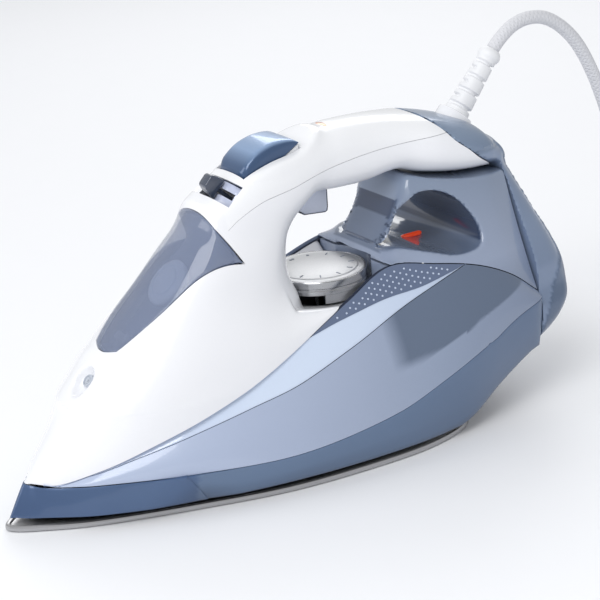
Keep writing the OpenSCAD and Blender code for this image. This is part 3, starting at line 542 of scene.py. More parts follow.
def join(target, *others):
    """Adds the others' meshes to the target and removes them."""
    work = bmesh.new()
    work.from_mesh(target.data)
    for other in others:
        work.from_mesh(other.data)
        bpy.data.objects.remove(other)
    work.to_mesh(target.data)
    work.free()
    target.data.update()
    return target


def bake_modifiers(piece):
    """Puts the mesh that the piece's modifiers make in place of its own."""
    bpy.context.view_layer.update()
    graph = bpy.context.evaluated_depsgraph_get()
    mesh = bpy.data.meshes.new_from_object(piece.evaluated_get(graph))
    old = piece.data
    piece.modifiers.clear()
    piece.data = mesh
    bpy.data.meshes.remove(old)
    return piece


def cut(piece, cutter, operation="DIFFERENCE"):
    """Applies one boolean to the piece's mesh and removes the cutter."""
    modifier = piece.modifiers.new("cut", "BOOLEAN")
    modifier.operation = operation
    modifier.solver = "MANIFOLD"
    modifier.object = cutter
    bake_modifiers(piece)
    if not len(piece.data.polygons):
        raise RuntimeError(f"the cut of {piece.name} by {cutter.name} left nothing")
    bpy.data.objects.remove(cutter)
    return piece


def copy_of(piece, name):
    other = bpy.data.objects.new(name, piece.data.copy())
    bpy.context.scene.collection.objects.link(other)
    return other


def finish_edges(piece, angle=32):
    """Smooth shading, with edges sharper than the angle kept sharp."""
    smooth(piece).data.set_sharp_from_angle(angle=math.radians(angle))
    return piece


def prism(name, outline, place, depth):
    """A closed outline in a plane, pushed through along the plane's normal."""
    n = len(outline)
    points = [place(u, v, -depth) for u, v in outline] + [place(u, v, depth) for u, v in outline]
    faces = [tuple(range(n - 1, -1, -1)), tuple(range(n, 2 * n))]
    faces += [(i, (i + 1) % n, n + (i + 1) % n, n + i) for i in range(n)]
    solid = new_piece(name, points, faces)
    work = bmesh.new()
    work.from_mesh(solid.data)
    bmesh.ops.recalc_face_normals(work, faces=work.faces)
    bmesh.ops.triangulate(work, faces=[f for f in work.faces if len(f.verts) > 4])
    work.to_mesh(solid.data)
    work.free()
    return solid


def side_place(u, v, w):
    return (u, w, v)


def ridge_place(s, y, off):
    p = RIDGE_LOW + UP_RIDGE * s + OFF_RIDGE * off
    return (p[0], y, p[2])


def lathe(name, profile, place, sides=64, start=0.0, span=360.0):
    """A profile of (radius, height) turned round an axis; place(x, y, z) puts it in the body."""
    whole = span >= 360
    steps = sides if whole else max(4, int(sides * span / 360)) + 1
    angles = math.radians(start) + math.radians(span) * np.arange(steps) / (steps if whole else steps - 1)
    rings = [[place(r * math.cos(a), r * math.sin(a), h) for r, h in profile] for a in angles]
    n, m = len(profile), steps
    faces = []
    for j in range(m if whole else m - 1):
        k = (j + 1) % m
        for i in range(n - 1):
            faces.append((j * n + i, k * n + i, k * n + i + 1, j * n + i + 1))
    if not whole:
        faces += [tuple(range(n - 1, -1, -1)), tuple((m - 1) * n + i for i in range(n))]
        for j in range(m - 1):
            faces.append((j * n + n - 1, (j + 1) * n + n - 1, (j + 1) * n, j * n))
    piece = new_piece(name, rings, faces)
    work = bmesh.new()
    work.from_mesh(piece.data)
    bmesh.ops.remove_doubles(work, verts=work.verts, dist=1e-6)
    bmesh.ops.dissolve_degenerate(work, edges=work.edges, dist=1e-7)
    bmesh.ops.recalc_face_normals(work, faces=work.faces)
    work.to_mesh(piece.data)
    work.free()
    return finish_edges(piece, 38)


def upright(x, y=0.0, z=0.0):
    return lambda u, v, w: (x + u, y + v, z + w)


def on_ridge(s, off=0.0):
    return lambda u, v, w: ridge_place(s + u, v, off + w)


def on_boot(u, v, w):
    """w out along the cord's way out, u and v across it."""
    across = np.array([-BOOT_OUT[2], 0.0, BOOT_OUT[0]])
    p = BOOT + BOOT_OUT * w + across * u
    return (p[0], v, p[2])


def boot_hole():
    return lathe("boot_hole", [(0, -14), (9.9, -14), (9.9, 26), (0, 26)], on_boot, 48)


# ---------------------------------------------------------------- panels built as grids


def shell_faces(n, m, edge_cells):
    """Faces of an n by m grid and its copy k points on, and whether each is part of the rim."""
    k = n * m
    rim = edge_cells > 0
    faces, edge = [], []
    for i in range(n - 1):
        for j in range(m - 1):
            a, b, c, d = i * m + j, (i + 1) * m + j, (i + 1) * m + j + 1, i * m + j + 1
            faces += [(a, b, c, d), (d + k, c + k, b + k, a + k)]
            edge += [min(i, n - 2 - i, j, m - 2 - j) < edge_cells, False]
    for i in range(n - 1):
        a, b = i * m, (i + 1) * m
        faces += [(a + k, b + k, b, a), (a + m - 1, b + m - 1, b + m - 1 + k, a + m - 1 + k)]
        edge += [rim, rim]
    for j in range(m - 1):
        a, b = j, (n - 1) * m + j
        faces += [(a, a + 1, a + 1 + k, a + k), (b + k, b + 1 + k, b + 1, b)]
        edge += [rim, rim]
    return faces, edge


def thicken(name, grid, thickness, bevel=0.3, outward=(0, -1, 0), edge_cells=0):
    """A closed shell from a grid of outer points, with its rim rounded."""
    grid = np.array(grid, float)
    n, m = grid.shape[:2]
    normal = np.cross(np.gradient(grid, axis=0), np.gradient(grid, axis=1))
    normal /= np.maximum(np.linalg.norm(normal, axis=2, keepdims=True), 1e-9)
    faces, edge = shell_faces(n, m, edge_cells)
    if normal[n // 2, m // 2].dot(outward) < 0:
        normal = -normal
        faces = [face[::-1] for face in faces]
    points = np.concatenate([grid.reshape(-1, 3), (grid - normal * thickness).reshape(-1, 3)])
    piece = smooth(new_piece(name, points, faces))
    piece.data.polygons.foreach_set("material_index", np.array(edge, np.int32))
    if bevel:
        round_edges(piece, bevel)
    piece.data.set_sharp_from_angle(angle=math.radians(34))
    return piece


def crease_middle(piece):
    """Marks the edges on the plane of symmetry as sharp."""
    mesh = piece.data
    for edge in mesh.edges:
        if all(abs(mesh.vertices[v].co.y) < 1e-6 for v in edge.vertices):
            edge.use_edge_sharp = True
    return piece


def round_edges(piece, width, segments=2, angle=40):
    """Bevels every edge sharper than the angle."""
    modifier = piece.modifiers.new("round", "BEVEL")
    modifier.width = width * MM
    modifier.segments = segments
    modifier.limit_method = "ANGLE"
    modifier.angle_limit = math.radians(angle)
    modifier.harden_normals = False
    return smooth(bake_modifiers(piece))


def mirrored(piece):
    """Adds the mirror image on the body's other side."""
    work = bmesh.new()
    work.from_mesh(piece.data)
    copy = bmesh.ops.duplicate(work, geom=work.verts[:] + work.edges[:] + work.faces[:])["geom"]
    for v in copy:
        if isinstance(v, bmesh.types.BMVert):
            v.co.y = -v.co.y
    bmesh.ops.reverse_faces(work, faces=[f for f in copy if isinstance(f, bmesh.types.BMFace)])
    work.to_mesh(piece.data)
    work.free()
    return piece


SKIRT_REAR_Z = [(88, 46.4), (96, 50.2), (105, 53.8), (114, 56.6), (124, 59)]


def skirt_top(x):
    z = curve(SKIRT_TOP_Z, x)
    return np.where(x > 84, np.maximum(z, curve(SKIRT_REAR_Z, x)), z)


def tank_y(x, z):
    """Half the tank's width at a height on its side."""
    z0, z1 = curve(SKIRT_TOP_Z, x) + 0.4, curve(BORDER_Z, x) - 0.4
    y0, y1 = curve(SKIRT_TOP_Y, x), curve(BORDER_Y, x)
    t = np.clip((z - z0) / np.maximum(z1 - z0, 0.5), 0, 1)
    return y0 + (y1 - y0) * t + 3 * np.minimum(1, (x + 141) / 60) * np.sin(math.pi * t)


def tank_patch(name, x0, x1, foot, top, columns, rows, thickness, inset=0.0, bevel=0.3):
    """A panel of the tank's side between two heights over x, and its mirror image."""
    grid = []
    for x in np.linspace(x0, x1, columns):
        low = float(foot(x))
        high = max(float(top(x)), low + 0.25)
        line = []
        for z in np.linspace(low, high, rows):
            line.append((x, -max(0.6, float(tank_y(x, z)) - inset), z))
        grid.append(line)
    return mirrored(thicken(name, grid, thickness, bevel))


def border_foot(x):
    return curve(BORDER_Z, x) - 0.5


def window_foot(x):
    return np.minimum(curve(WINDOW_Z, x), border_foot(x))


def grille_foot(x):
    return np.where(x < -4, border_foot(x), np.minimum(curve(GRILLE_Z, x), border_foot(x)))


def tank_panels():
    """The tank's side, the window strip over it and the dotted shoulder."""
    panel = tank_patch("tank_panel", -137.5, 123.7, lambda x: skirt_top(x) + 0.3,
                       lambda x: window_foot(x) if x < 84 else border_foot(x), 230, 40, 2.2)
    window = tank_patch("tank_window", -133, 84.5, lambda x: window_foot(x) + 0.05,
                        lambda x: grille_foot(x) - 0.05, 110, 8, 1.6, inset=0.5, bevel=0.12)
    grille = tank_patch("tank_shoulder", -3, 84.5, lambda x: grille_foot(x) + 0.05,
                        border_foot, 60, 8, 1.6, inset=0.2, bevel=0.12)
    return panel, window, grille


SKIRT_NOSE_Z = [(-153, 21.0), (-146, 20.3), (-140, 19.9), (-134, 19.9)]


SKIRT_NOSE_X = -152.4


def skirt():
    """The metallic skirt round the soleplate, with the step in its side near the nose."""
    step_x = -76.2
    xs = np.concatenate([
        SKIRT_NOSE_X + 0.1 + 7 * (1 - np.cos(np.linspace(0.06, 1, 9) * math.pi / 2)),
        np.linspace(-143.5, -78, 30), [-76.5, step_x, step_x + 0.05, -75.8],
        np.linspace(-74, 123.7, 78)])
    grid = []
    for side in (-1, 1):
        for x in xs[::-1] if side < 0 else xs:
            z0 = at(SKIRT_FOOT_Z, x)
            z1 = float(skirt_top(x)) if x > -134 else at(SKIRT_NOSE_Z, x)
            line = []
            for t in np.linspace(0, 1, 11):
                z = z0 + (z1 - z0) * t
                shift = 0.7 * (13.6 - z) * max(0, 1 - abs(x - step_x) / 20)
                y0 = at(SKIRT_FOOT_Y, x)
                y1 = at(SKIRT_TOP_Y, x)
                if x > 84:
                    y1 = float(tank_y(x, z1))
                y = y0 + (y1 - y0) * t + 0.7 * math.sin(math.pi * t)
                if x <= step_x:
                    y += 0.55 * min(1, (step_x - x + 40) / 40)
                nose = min(1, max(0, (x - SKIRT_NOSE_X) / 5.5))
                y *= math.sqrt(1 - (1 - nose) ** 2)
                lean = 8.6 * t * max(0, 1 - (x - SKIRT_NOSE_X) / 14)
                line.append((x + shift + lean, side * y, z))
            grid.append(line)
    return thicken("skirt_shell", grid, 2.2, 0.45, outward=(-1, 0, 0))


def skirt_floor():
    grid = []
    for x in np.linspace(79, 124, 20):
        half = at(SKIRT_FOOT_Y, x) - 1.2
        z = at(SKIRT_FOOT_Z, x) + 0.4
        grid.append([(x, half * v, z) for v in np.linspace(-1, 1, 17)])
    return thicken("skirt_underside", grid, 2, 0.3, outward=(0.3, 0, -1))


def sole_line(inset):
    """The soleplate's outline, drawn in by a distance."""
    table = np.array(SOLE_LINE, float)
    n = len(table)
    half = []
    for i in range(n - 1):
        a, b = table[i], table[i + 1]
        m0 = np.array([0, 5.0]) if i == 0 else (b - table[i - 1]) / 2
        m1 = np.array([0, -10.0]) if i == n - 2 else (table[i + 2] - a) / 2
        for u in np.arange(10) / 10:
            v = 1 - u
            half.append(a * (1 + 2 * u) * v * v + m0 * u * v * v
                        + b * u * u * (3 - 2 * u) - m1 * u * u * v)
    half = np.array(half + [table[-1]])
    line = np.vstack([half, half[-2:0:-1] * (1, -1)])
    d = np.roll(line, -1, axis=0) - np.roll(line, 1, axis=0)
    d /= np.linalg.norm(d, axis=1)[:, None]
    inward = np.stack([d[:, 1], -d[:, 0]], axis=1)
    out = line + inward * inset
    out[:, 1] = np.where(line[:, 1] > 0, np.maximum(out[:, 1], 0), np.minimum(out[:, 1], 0))
    return out


def soleplate():
    """The polished sole with its rolled edge and steam holes."""
    profile = [(1.5, 0), (0.7, 0.12), (0.2, 0.5), (0, 1.1), (0.05, 2.0), (0.35, 2.7), (1.0, 3.05),
               (1.8, 3.0), (2.5, 2.6), (2.8, 2.1), (3.4, 1.95), (9, 1.9)]
    rings = [[(p[0], p[1], z) for p in sole_line(inset)] for inset, z in profile]
    piece = fix_normals(rings_mesh("soleplate_face", rings))
    holes = []
    for i in range(7):
        x = -122 + i * 16
        y = float(curve([p for p in SOLE_LINE if p[0] < 40], x)) - 11
        holes += [(x, y), (x, -y)]
    holes += [(-132, 0), (-124, 0)]
    for x, y in holes:
        profile = [(0, -2), (2.3, -2), (2.3, 0.05), (1.5, 0.75), (1.5, 6), (0, 6)]
        cut(piece, lathe("hole", profile, upright(x, y), 20))
    return finish_edges(piece, 30)


def fix_normals(piece):
    work = bmesh.new()
    work.from_mesh(piece.data)
    bmesh.ops.recalc_face_normals(work, faces=work.faces)
    work.to_mesh(piece.data)
    work.free()
    return piece


# ---------------------------------------------------------------- the white body


def door_half(s):
    """Half the filling door's width, over the distance up the ridge."""
    return curve([(2, 6.4), (6, 10.5), (25, 16.5), (52, 21.5), (72, 26), (90, 29)], s)


def door_point(v, t):
    """Place on the door: v runs up it, t from side to side. Gives the distance up the ridge and y."""
    low = 2.2 + 3.2 * abs(t) ** 3
    high = 81 - 9 * abs(t) ** 2.2
    s = low + (high - low) * v
    return s, t * float(door_half(s))


def door_edge(grow):
    """The door's outline on the ridge plane, moved out by a distance."""
    around = [door_point(v, -1) for v in np.linspace(0, 1, 30)]
    around += [door_point(1, t) for t in np.linspace(-1, 1, 25)[1:]]
    around += [door_point(v, 1) for v in np.linspace(1, 0, 30)[1:]]
    around += [door_point(0, t) for t in np.linspace(1, -1, 17)[1:-1]]
    p = np.array(around)
    d = np.roll(p, -1, axis=0) - np.roll(p, 1, axis=0)
    d /= np.linalg.norm(d, axis=1)[:, None]
    return p + np.stack([-d[:, 1], d[:, 0]], axis=1) * (-grow if outline_turn(p) > 0 else grow)


def outline_turn(p):
    """Twice an outline's area, positive where it runs anticlockwise."""
    q = np.roll(p, -1, axis=0)
    return float((p[:, 0] * q[:, 1] - q[:, 0] * p[:, 1]).sum())


def off_ridge_height(s, y):
    """How far off the ridge line the white body's surface is, above each place on the ridge."""
    s, y = np.broadcast_arrays(np.asarray(s, float), np.asarray(y, float))
    low, high = np.full(s.shape, -26.0), np.full(s.shape, 7.0)
    for _ in range(22):
        middle = (low + high) / 2
        x = RIDGE_LOW[0] + UP_RIDGE[0] * s + OFF_RIDGE[0] * middle
        z = RIDGE_LOW[2] + UP_RIDGE[2] * s + OFF_RIDGE[2] * middle
        inside = body_distance(x, y, z) < 0
        low, high = np.where(inside, middle, low), np.where(inside, high, middle)
    return (low + high) / 2


def filling_door():
    """The clear door: it follows the body's own surface and has a low roof along its middle."""
    vs = np.concatenate([[0, 0.018], np.linspace(0.04, 0.96, 40), [0.982, 1]])
    ts = np.concatenate([[-1, -0.955], np.linspace(-0.91, 0.91, 27), [0.955, 1]])
    ts[len(ts) // 2] = 0
    place = np.array([[door_point(v, t) for t in ts] for v in vs])
    height = off_ridge_height(place[..., 0], place[..., 1])
    roof = 0.9 * (1 - np.abs(ts))[None, :] * (np.sin(math.pi * vs) ** 0.5)[:, None]
    height = height + roof
    grid = [[ridge_place(s, y, h) for (s, y), h in zip(row, line)]
            for row, line in zip(place, height)]
    return crease_middle(thicken("door_shell", grid, 1.9, 0.35, outward=OFF_RIDGE, edge_cells=1))


def door_basin():
    """The well under the filling door, which is seen through it."""
    vs = np.linspace(0, 1, 34)
    ts = np.linspace(-1, 1, 25)
    place_at = np.array([[door_point(0.015 + 0.97 * v, 0.965 * t) for t in ts] for v in vs])
    height = off_ridge_height(place_at[..., 0], place_at[..., 1])
    rim = np.minimum(1, 7 * (1 - np.abs(ts)))[None, :] * np.minimum(1, 14 * vs * (1 - vs))[:, None]
    height = height - 2.6 - 7.5 * np.sqrt(rim)
    grid = [[ridge_place(s, y, h) for (s, y), h in zip(row, line)]
            for row, line in zip(place_at, height)]
    return thicken("door_basin", grid, 1.0, 0, outward=OFF_RIDGE)


BODY_GRID = 1.25


def body_shells():
    """The white housing and the handle's top shell, cut out of one hollow body."""
    low, high = (-146, -43, 17), (126, 43, 161)
    body = hollow_solid("front_body", body_distance, low, high, BODY_GRID, 2 * BODY_GRID)
    foot = [(x, at(BORDER_Z, x)) for x in np.linspace(-141, 50, 96)]
    below = prism("foot", [(-160, 5), (-160, 20.9)] + foot + [(52, 5)], side_place, 60)
    cut(below, deck_round_dial())
    cut(body, below)
    cut(body, prism("door_hole", door_edge(0.35), lambda s, y, off: ridge_place(s, y, off + 6), 28))
    cut(body, lathe("spindle_hole", [(0, 40), (4, 40), (4, 95), (0, 95)], upright(DIAL_X), 32))
    cut(body, lathe("nozzle_hole", [(0, -20), (3.5, -20), (3.5, 20), (0, 20)], on_ridge(NOZZLE_S), 32))
    cut(body, slider_slot())
    cut(body, pocket(-19.6, 13.4, 13.0, 134, 175))
    cut(body, pocket(13.2, 31, 6.6, 110, 134))
    cut(body, boot_hole())
    behind = [(at(BAND_SEAM_X, z) - 0.15, z) for z in np.linspace(118, 158, 21)]
    cut(body, prism("behind", behind + [(75, 175), (190, 175), (190, 118)], side_place, 60))
    tail_x = BAND_FRONT_X - 0.3
    cut(body, prism("tail", [(tail_x, 60), (tail_x, 119), (190, 119), (190, 60)], side_place, 60))
    seam = [(-34, 123.9), (-27, 128.4), (-14, 133.8), (3, 136.6), (20, 140), (44, 143.2), (67, 145),
            (92, 146.4), (110, 146), (140, 146)]
    line = np.array(smooth_route([(x, 0, z) for x, z in seam], 5))
    upper = [(-34, 175)] + [(p[0], p[2]) for p in line] + [(140, 175)]
    top = copy_of(body, "handle_top_shell")
    cut(top, prism("over", shifted(upper, 0.12), side_place, 60), "INTERSECT")
    cut(body, prism("under", shifted(upper, -0.12), side_place, 60))
    return finish_edges(body), finish_edges(top)


def deck_round_dial():
    """The room inside the border line where the surfaces round the dial go down below it."""
    near = [(x, 3.0 - at(BORDER_Y, x)) for x in np.linspace(-6, 58, 34)]
    far = [(x, -y) for x, y in near[::-1]]
    return prism("deck", near + far, lambda u, v, w: (u, v, 80 + w), 8.8)


def shifted(outline, dz):
    """The outline with its seam, but not its far top corners, moved up or down."""
    return [(u, v + (dz if v < 170 else 0)) for u, v in outline]


def pocket(x0, x1, half, z0, z1):
    """A straight-sided block for cutting an opening."""
    outline = [(x0, -half), (x1, -half), (x1, half), (x0, half)]
    return prism("pocket", outline, lambda u, v, w: (u, v, (z0 + z1) / 2 + w * (z1 - z0) / 2), 1)


SLIDER_TURN = 27


def on_slider(u, v, w):
    """u up the ridge, v across it, w off it, from the slider's axis."""
    p = SLIDER + UP_RIDGE * u + OFF_RIDGE * w
    return (p[0], v, p[2])


def slider_slot():
    """The opening in the ridge that the slider's track and knob show through."""
    return lathe("slot", [(14, -5.9), (40, -5.9), (40, 5.9), (14, 5.9), (14, -5.9)],
                 lambda u, v, w: on_slider(w, v, u), 72, -SLIDER_TURN - 14, 2 * SLIDER_TURN + 28)


# ---------------------------------------------------------------- cover and band


COVER_GRID = 1.2


def rear_cover():
    """The clear cover's shell, open below the border line except round the dial."""
    low, high = (37, -55, 56), (126, 55, 132)
    piece = hollow_solid("rear_cover_shell", cover_distance, low, high, COVER_GRID, COVER_GRID)
    line = [(x, at(BORDER_Z, x)) for x in np.linspace(40, 130, 40)]
    below = prism("low", [(40, 10)] + line + [(130, 10)], side_place, 80)
    cut(below, deck_round_dial())
    cut(piece, below)
    tail_x = BAND_FRONT_X - 0.4
    tail = [(tail_x, 40), (tail_x, 140), (140, 140), (140, 40)]
    cut(piece, prism("tail", tail, side_place, 80))
    return finish_edges(piece)


def ahead_of_step(x, z):
    """How far in front of the step line on the band's side a place is."""
    line_z = np.array([40, 53, 76.6, 95, 131, 170], float)
    line_x = np.array([124, 128.6, 145, 140, 126.4, 100], float)
    return np.interp(z, line_z, line_x) - x


BAND_INSET = 0.7


def stepped_band(x, y, z):
    ahead = np.clip(ahead_of_step(x, z) / 0.8 + 0.5, 0, 1)
    return band_distance(x, y, z) + BAND_INSET * ahead * (z > 40) * (z < 134)


def on_back(u, v, w):
    """u down the plate, v across it, w out of the iron's sloping back."""
    steep = math.hypot(1, BACK_LEAN)
    out = np.array([1, 0, BACK_LEAN]) / steep
    down = np.array([BACK_LEAN, 0, -1]) / steep
    p = np.array([BACK_D - BACK_LEAN * 88, 0, 88]) + down * u + out * w
    return (p[0], v, p[2])


BAND_GRID = 1.4


def rear_band():
    """The blue band's shell, with holes for the strain relief and the heel plate."""
    low, high = (76, -57, 28), (160, 57, 161)
    piece = hollow_solid("rear_band_shell", stepped_band, low, high, BAND_GRID, 2 * BAND_GRID,
                         band_distance, WALL + BAND_INSET)
    cut(piece, boot_hole())
    plate = [(-22.3, -20.3), (22.3, -20.3), (22.3, 20.3), (-22.3, 20.3)]
    cut(piece, prism("plate_hole", plate, on_back, 12))
    return finish_edges(piece)


def dots(name, places, radius=0.55):
    """Small domes; each place is a point and the way out of the surface there."""
    points, faces = [], []
    for centre, out in places:
        centre, out = np.array(centre, float), np.array(out, float)
        out /= np.linalg.norm(out)
        side = np.cross(out, (0.3, 0.2, 0.9))
        side /= np.linalg.norm(side)
        up = np.cross(out, side)
        base = len(points)
        for r, h in ((1.0, -0.35), (1.0, 0.06), (0.6, 0.24)):
            for a in np.arange(8) * math.tau / 8:
                points.append(centre + out * h + radius * r * (math.cos(a) * side + math.sin(a) * up))
        points.append(centre + out * 0.28)
        points.append(centre - out * 0.35)
        for j in (0, 1):
            for i in range(8):
                k = (i + 1) % 8
                a, b = base + 8 * j, base + 8 * j + 8
                faces.append((a + i, a + k, b + k, b + i))
        for i in range(8):
            k = (i + 1) % 8
            faces.append((base + 16 + i, base + 16 + k, base + 24))
            faces.append((base + k, base + i, base + 25))
    return finish_edges(fix_normals(new_piece(name, points, faces)), 50)


DOT_PITCH = 2.6


def shoulder_dots():
    """Staggered rows of dots over the tank's shoulder, on both sides."""
    places = []
    for row, x in enumerate(np.arange(6, 83, DOT_PITCH)):
        z0, z1 = float(grille_foot(x)) + 1.6, float(border_foot(x)) - 1.4
        count = int((z1 - z0) / DOT_PITCH) + 1
        for k in range(max(0, count)):
            z = z0 + (k + 0.5 * (row % 2)) * DOT_PITCH
            if z > z1:
                continue
            y = float(tank_y(x, z)) - 0.2
            slope = float(tank_y(x, z + 0.5)) - float(tank_y(x, z - 0.5))
            along = float(tank_y(x + 0.5, z)) - float(tank_y(x - 0.5, z))
            for side in (-1, 1):
                places.append(((x, side * y, z), (-along, side, -slope)))
    return dots("shoulder_dots", places)


# ---------------------------------------------------------------- door fittings and nozzle


def filler_cap():
    profile = [(0, -9.8), (11.4, -9.8), (12.1, -9.2), (12.3, -8.2), (11.9, -7.2), (10.4, -6.3),
               (8.6, -6.0), (8.2, -6.6), (7.4, -6.6), (7.0, -6.0), (3.2, -5.0), (0, -4.8)]
    return lathe("filler_cap_face", profile, on_ridge(CAP_S))


def nozzle():
    profile = [(0.5, -9), (0.5, -0.6), (0.9, -0.1), (1.5, 0.0), (1.7, -0.4), (2.2, -0.4),
               (2.5, 0.3), (3.0, 0.2), (3.2, -0.4), (3.2, -10), (0.5, -10), (0.5, -9)]
    return lathe("nozzle_face", profile, on_ridge(NOZZLE_S), 40)


# ---------------------------------------------------------------- controls


def slider_knob():
    """The knob, its stem and the shaft that it swings on."""
    outline = [(-5.2, 20.4), (-5.2, 21.2), (-3.1, 27.6), (-2, 28.3), (2.6, 28.3), (3.8, 27.6),
               (5.2, 21.2), (5.2, 20.4)]
    piece = prism("slider_knob", outline, lambda u, w, v: on_slider(u, v, w), 3.2)
    round_edges(piece, 0.7, 3, 30)
    stem = prism("stem", [(-1, 0.5), (1, 0.5), (1, 20.9), (-1, 20.9)],
                 lambda u, w, v: on_slider(u, v, w), 2)
    shaft = lathe("shaft", [(0, -12), (2.5, -12), (2.5, 1.5), (0, 1.5)],
                  lambda x, y, z: on_slider(z, x, y), 40)
    cut(stem, shaft, "UNION")
    cut(piece, stem, "UNION")
    return finish_edges(piece)


def slider_track():
    """The curved strip under the knob, with the slot that the stem runs in."""
    profile = [(17.8, -5.4), (19.0, -5.4), (19.2, -5.0), (19.2, 5.0), (19.0, 5.4), (17.8, 5.4),
               (17.8, -5.4)]
    piece = lathe("track_face", profile, lambda u, v, w: on_slider(w, v, u), 96, -38, 76)
    slot = [(17, -1.6), (22, -1.6), (22, 1.6), (17, 1.6), (17, -1.6)]
    cut(fix_normals(piece), lathe("track_slot", slot, lambda u, v, w: on_slider(w, v, u), 96, -34, 68))
    return finish_edges(piece)


BUTTON_TOP = [(-19, 146.5), (-16, 150.5), (-10, 155), (-2, 157.6), (5, 158), (10, 157.2), (12.5, 155.6)]
BUTTON_FOOT = [(-19, 138.1), (-12, 138.4), (-6, 144.1), (3, 149.6), (10, 153.8), (12.5, 155.2)]


BUTTON_HALF = 12.3


def spray_button():
    """The domed blue cap of the spray button."""
    rings = []
    xs = np.concatenate([-18.9 + 3 * (1 - np.cos(np.linspace(0.1, 1, 6) * math.pi / 2)),
                         np.linspace(-15, 12, 20), [12.4]])
    for x in xs:
        nose = min(1, (x + 19.2) / 4)
        half = BUTTON_HALF * (0.65 + 0.35 * math.sqrt(1 - (1 - nose) ** 2))
        foot = at(BUTTON_FOOT, x)
        high = max(at(BUTTON_TOP, x) - foot, 0.3)
        line = []
        for a in np.linspace(0, math.pi, 25):
            c, s = math.cos(a), math.sin(a)
            crown = 1 - 0.05 * c * c
            line.append((x, half * math.copysign(abs(c) ** 0.22, c), foot + high * s ** 0.3 * crown))
        rings.append(line[::-1])
    return finish_edges(fix_normals(rings_mesh("button_cap", rings)), 40)


def button_wedge():
    """The white base under the spray button."""
    outline = [(12.3, 154.6), (3, 149.2), (-6, 143.7), (-12, 138), (-12, 136.6), (12.8, 136.6),
               (13.1, 150)]
    piece = prism("button_wedge", outline, side_place, 12)
    round_edges(piece, 0.6, 2, 30)
    return finish_edges(piece)


def steam_trigger():
    outline = [(-8.4, 124), (-6.4, 118), (-5.2, 116.8), (6.6, 115.5), (7.6, 116), (8.1, 118),
               (8.4, 130.4), (-8.4, 130.4)]
    piece = prism("trigger_face", [(TRIGGER_X + u, v) for u, v in outline], side_place, 6)
    round_edges(piece, 0.9, 3, 25)
    return finish_edges(piece)


def trigger_edge():
    """The dark strip round the trigger's back and foot."""
    outline = [(-6.6, 117.6), (-5.4, 116.4), (6.8, 115.1), (8.2, 115.8), (8.6, 118), (8.8, 128.6),
               (8.2, 128.6), (7.9, 118.2), (7.4, 116.4), (6.5, 115.9), (-5.1, 117.2), (-6.0, 118.0)]
    return finish_edges(prism("trigger_edge", [(TRIGGER_X + u, v) for u, v in outline],
                              side_place, 5.6))


def dial_disc():
    """The dial's turned metal face, hollow underneath round its hub."""
    top = DIAL_TOP
    profile = [(0, top), (19.6, top), (20.0, top - 0.15), (20.3, top - 0.4), (22.6, top - 0.4),
               (23.1, top - 0.5), (23.4, top - 0.9), (23.4, top - 2.4), (9, top - 2.4),
               (9, top - 7.6), (3.2, top - 7.6), (3.2, top - 3.4), (0, top - 3.4)]
    return lathe("dial_disc", profile, upright(DIAL_X), 128)


def dial_marks():
    """Raised pictograms on the dial: dots for the heats and ticks between them."""
    solids = []

    def bar(angle, r0, r1, width):
        a = math.radians(angle)
        out, side = np.array([math.cos(a), math.sin(a)]), np.array([-math.sin(a), math.cos(a)])
        outline = [out * r0 - side * width, out * r1 - side * width,
                   out * r1 + side * width, out * r0 + side * width]
        return prism("mark", [(DIAL_X + p[0], p[1]) for p in outline],
                     lambda u, v, w: (u, v, DIAL_TOP + 0.04 + w), 0.14)

    for angle in (-150, -118, -86, -54, -22, 10, 42):
        solids.append(bar(angle, 15.6, 18.6, 0.32))
    for angle in (74, 106, 138):
        count = (angle - 74) // 32 + 1
        for k in range(count):
            a = angle + (k - (count - 1) / 2) * 5.4
            solids.append(lathe("mark", [(0, -0.1), (0.75, -0.1), (0.75, 0.16), (0, 0.16)],
                                upright(DIAL_X + 17 * math.cos(math.radians(a)),
                                        17 * math.sin(math.radians(a)), DIAL_TOP), 16))
    piece = join(solids[0], *solids[1:])
    piece.name = "dial_marks"
    return piece


def dial_chrome():
    """The grooved chrome ring round the dial, with its finger lug at the foot."""
    foot, rim = DIAL_TOP - 7.6, DIAL_TOP - 0.6
    r = DIAL_R
    profile = [(21.5, foot), (r - 0.4, foot), (r, foot + 0.4), (r, foot + 2.2), (r - 0.4, foot + 2.6),
               (r - 0.4, foot + 3.2), (r, foot + 3.6), (r, rim - 0.4), (24.2, rim), (23.7, rim),
               (23.5, rim - 0.3), (23.5, foot + 5.2), (21.5, foot + 5.2), (21.5, foot)]
    ring = lathe("dial_chrome", profile, upright(DIAL_X), 128)
    lug = lathe("lug", [(21.7, 75.3), (22.2, 74.9), (23.8, 74.9), (24.3, 75.3), (24.3, 80.2),
                        (21.7, 80.2), (21.7, 75.3)], upright(DIAL_X), 128, -115, 70)
    cut(fix_normals(ring), fix_normals(lug), "UNION")
    return finish_edges(ring)


def handle_lamp():
    """The small domed lamp on top of the handle."""
    rings = []
    for v in np.linspace(0, 1, 9):
        line = []
        for a in np.arange(28) * math.tau / 28:
            x = LAMP_X + 2.7 * v * math.cos(a)
            y = 5.8 * v * math.sin(a)
            dome = 0.5 * math.sqrt(max(0, 1 - v * v)) - 0.05
            line.append((x, y, at(HANDLE_TOP, x) - 0.012 * y * y + dome))
        rings.append(line)
    foot = [(p[0], p[1], p[2] - 2.6) for p in rings[-1]]
    rings[0] = [(p[0] + 0.01 * math.cos(i), p[1] + 0.01 * math.sin(i), p[2])
                for i, p in enumerate(rings[0])]
    return finish_edges(fix_normals(rings_mesh("lamp_lens", rings + [foot])), 50)


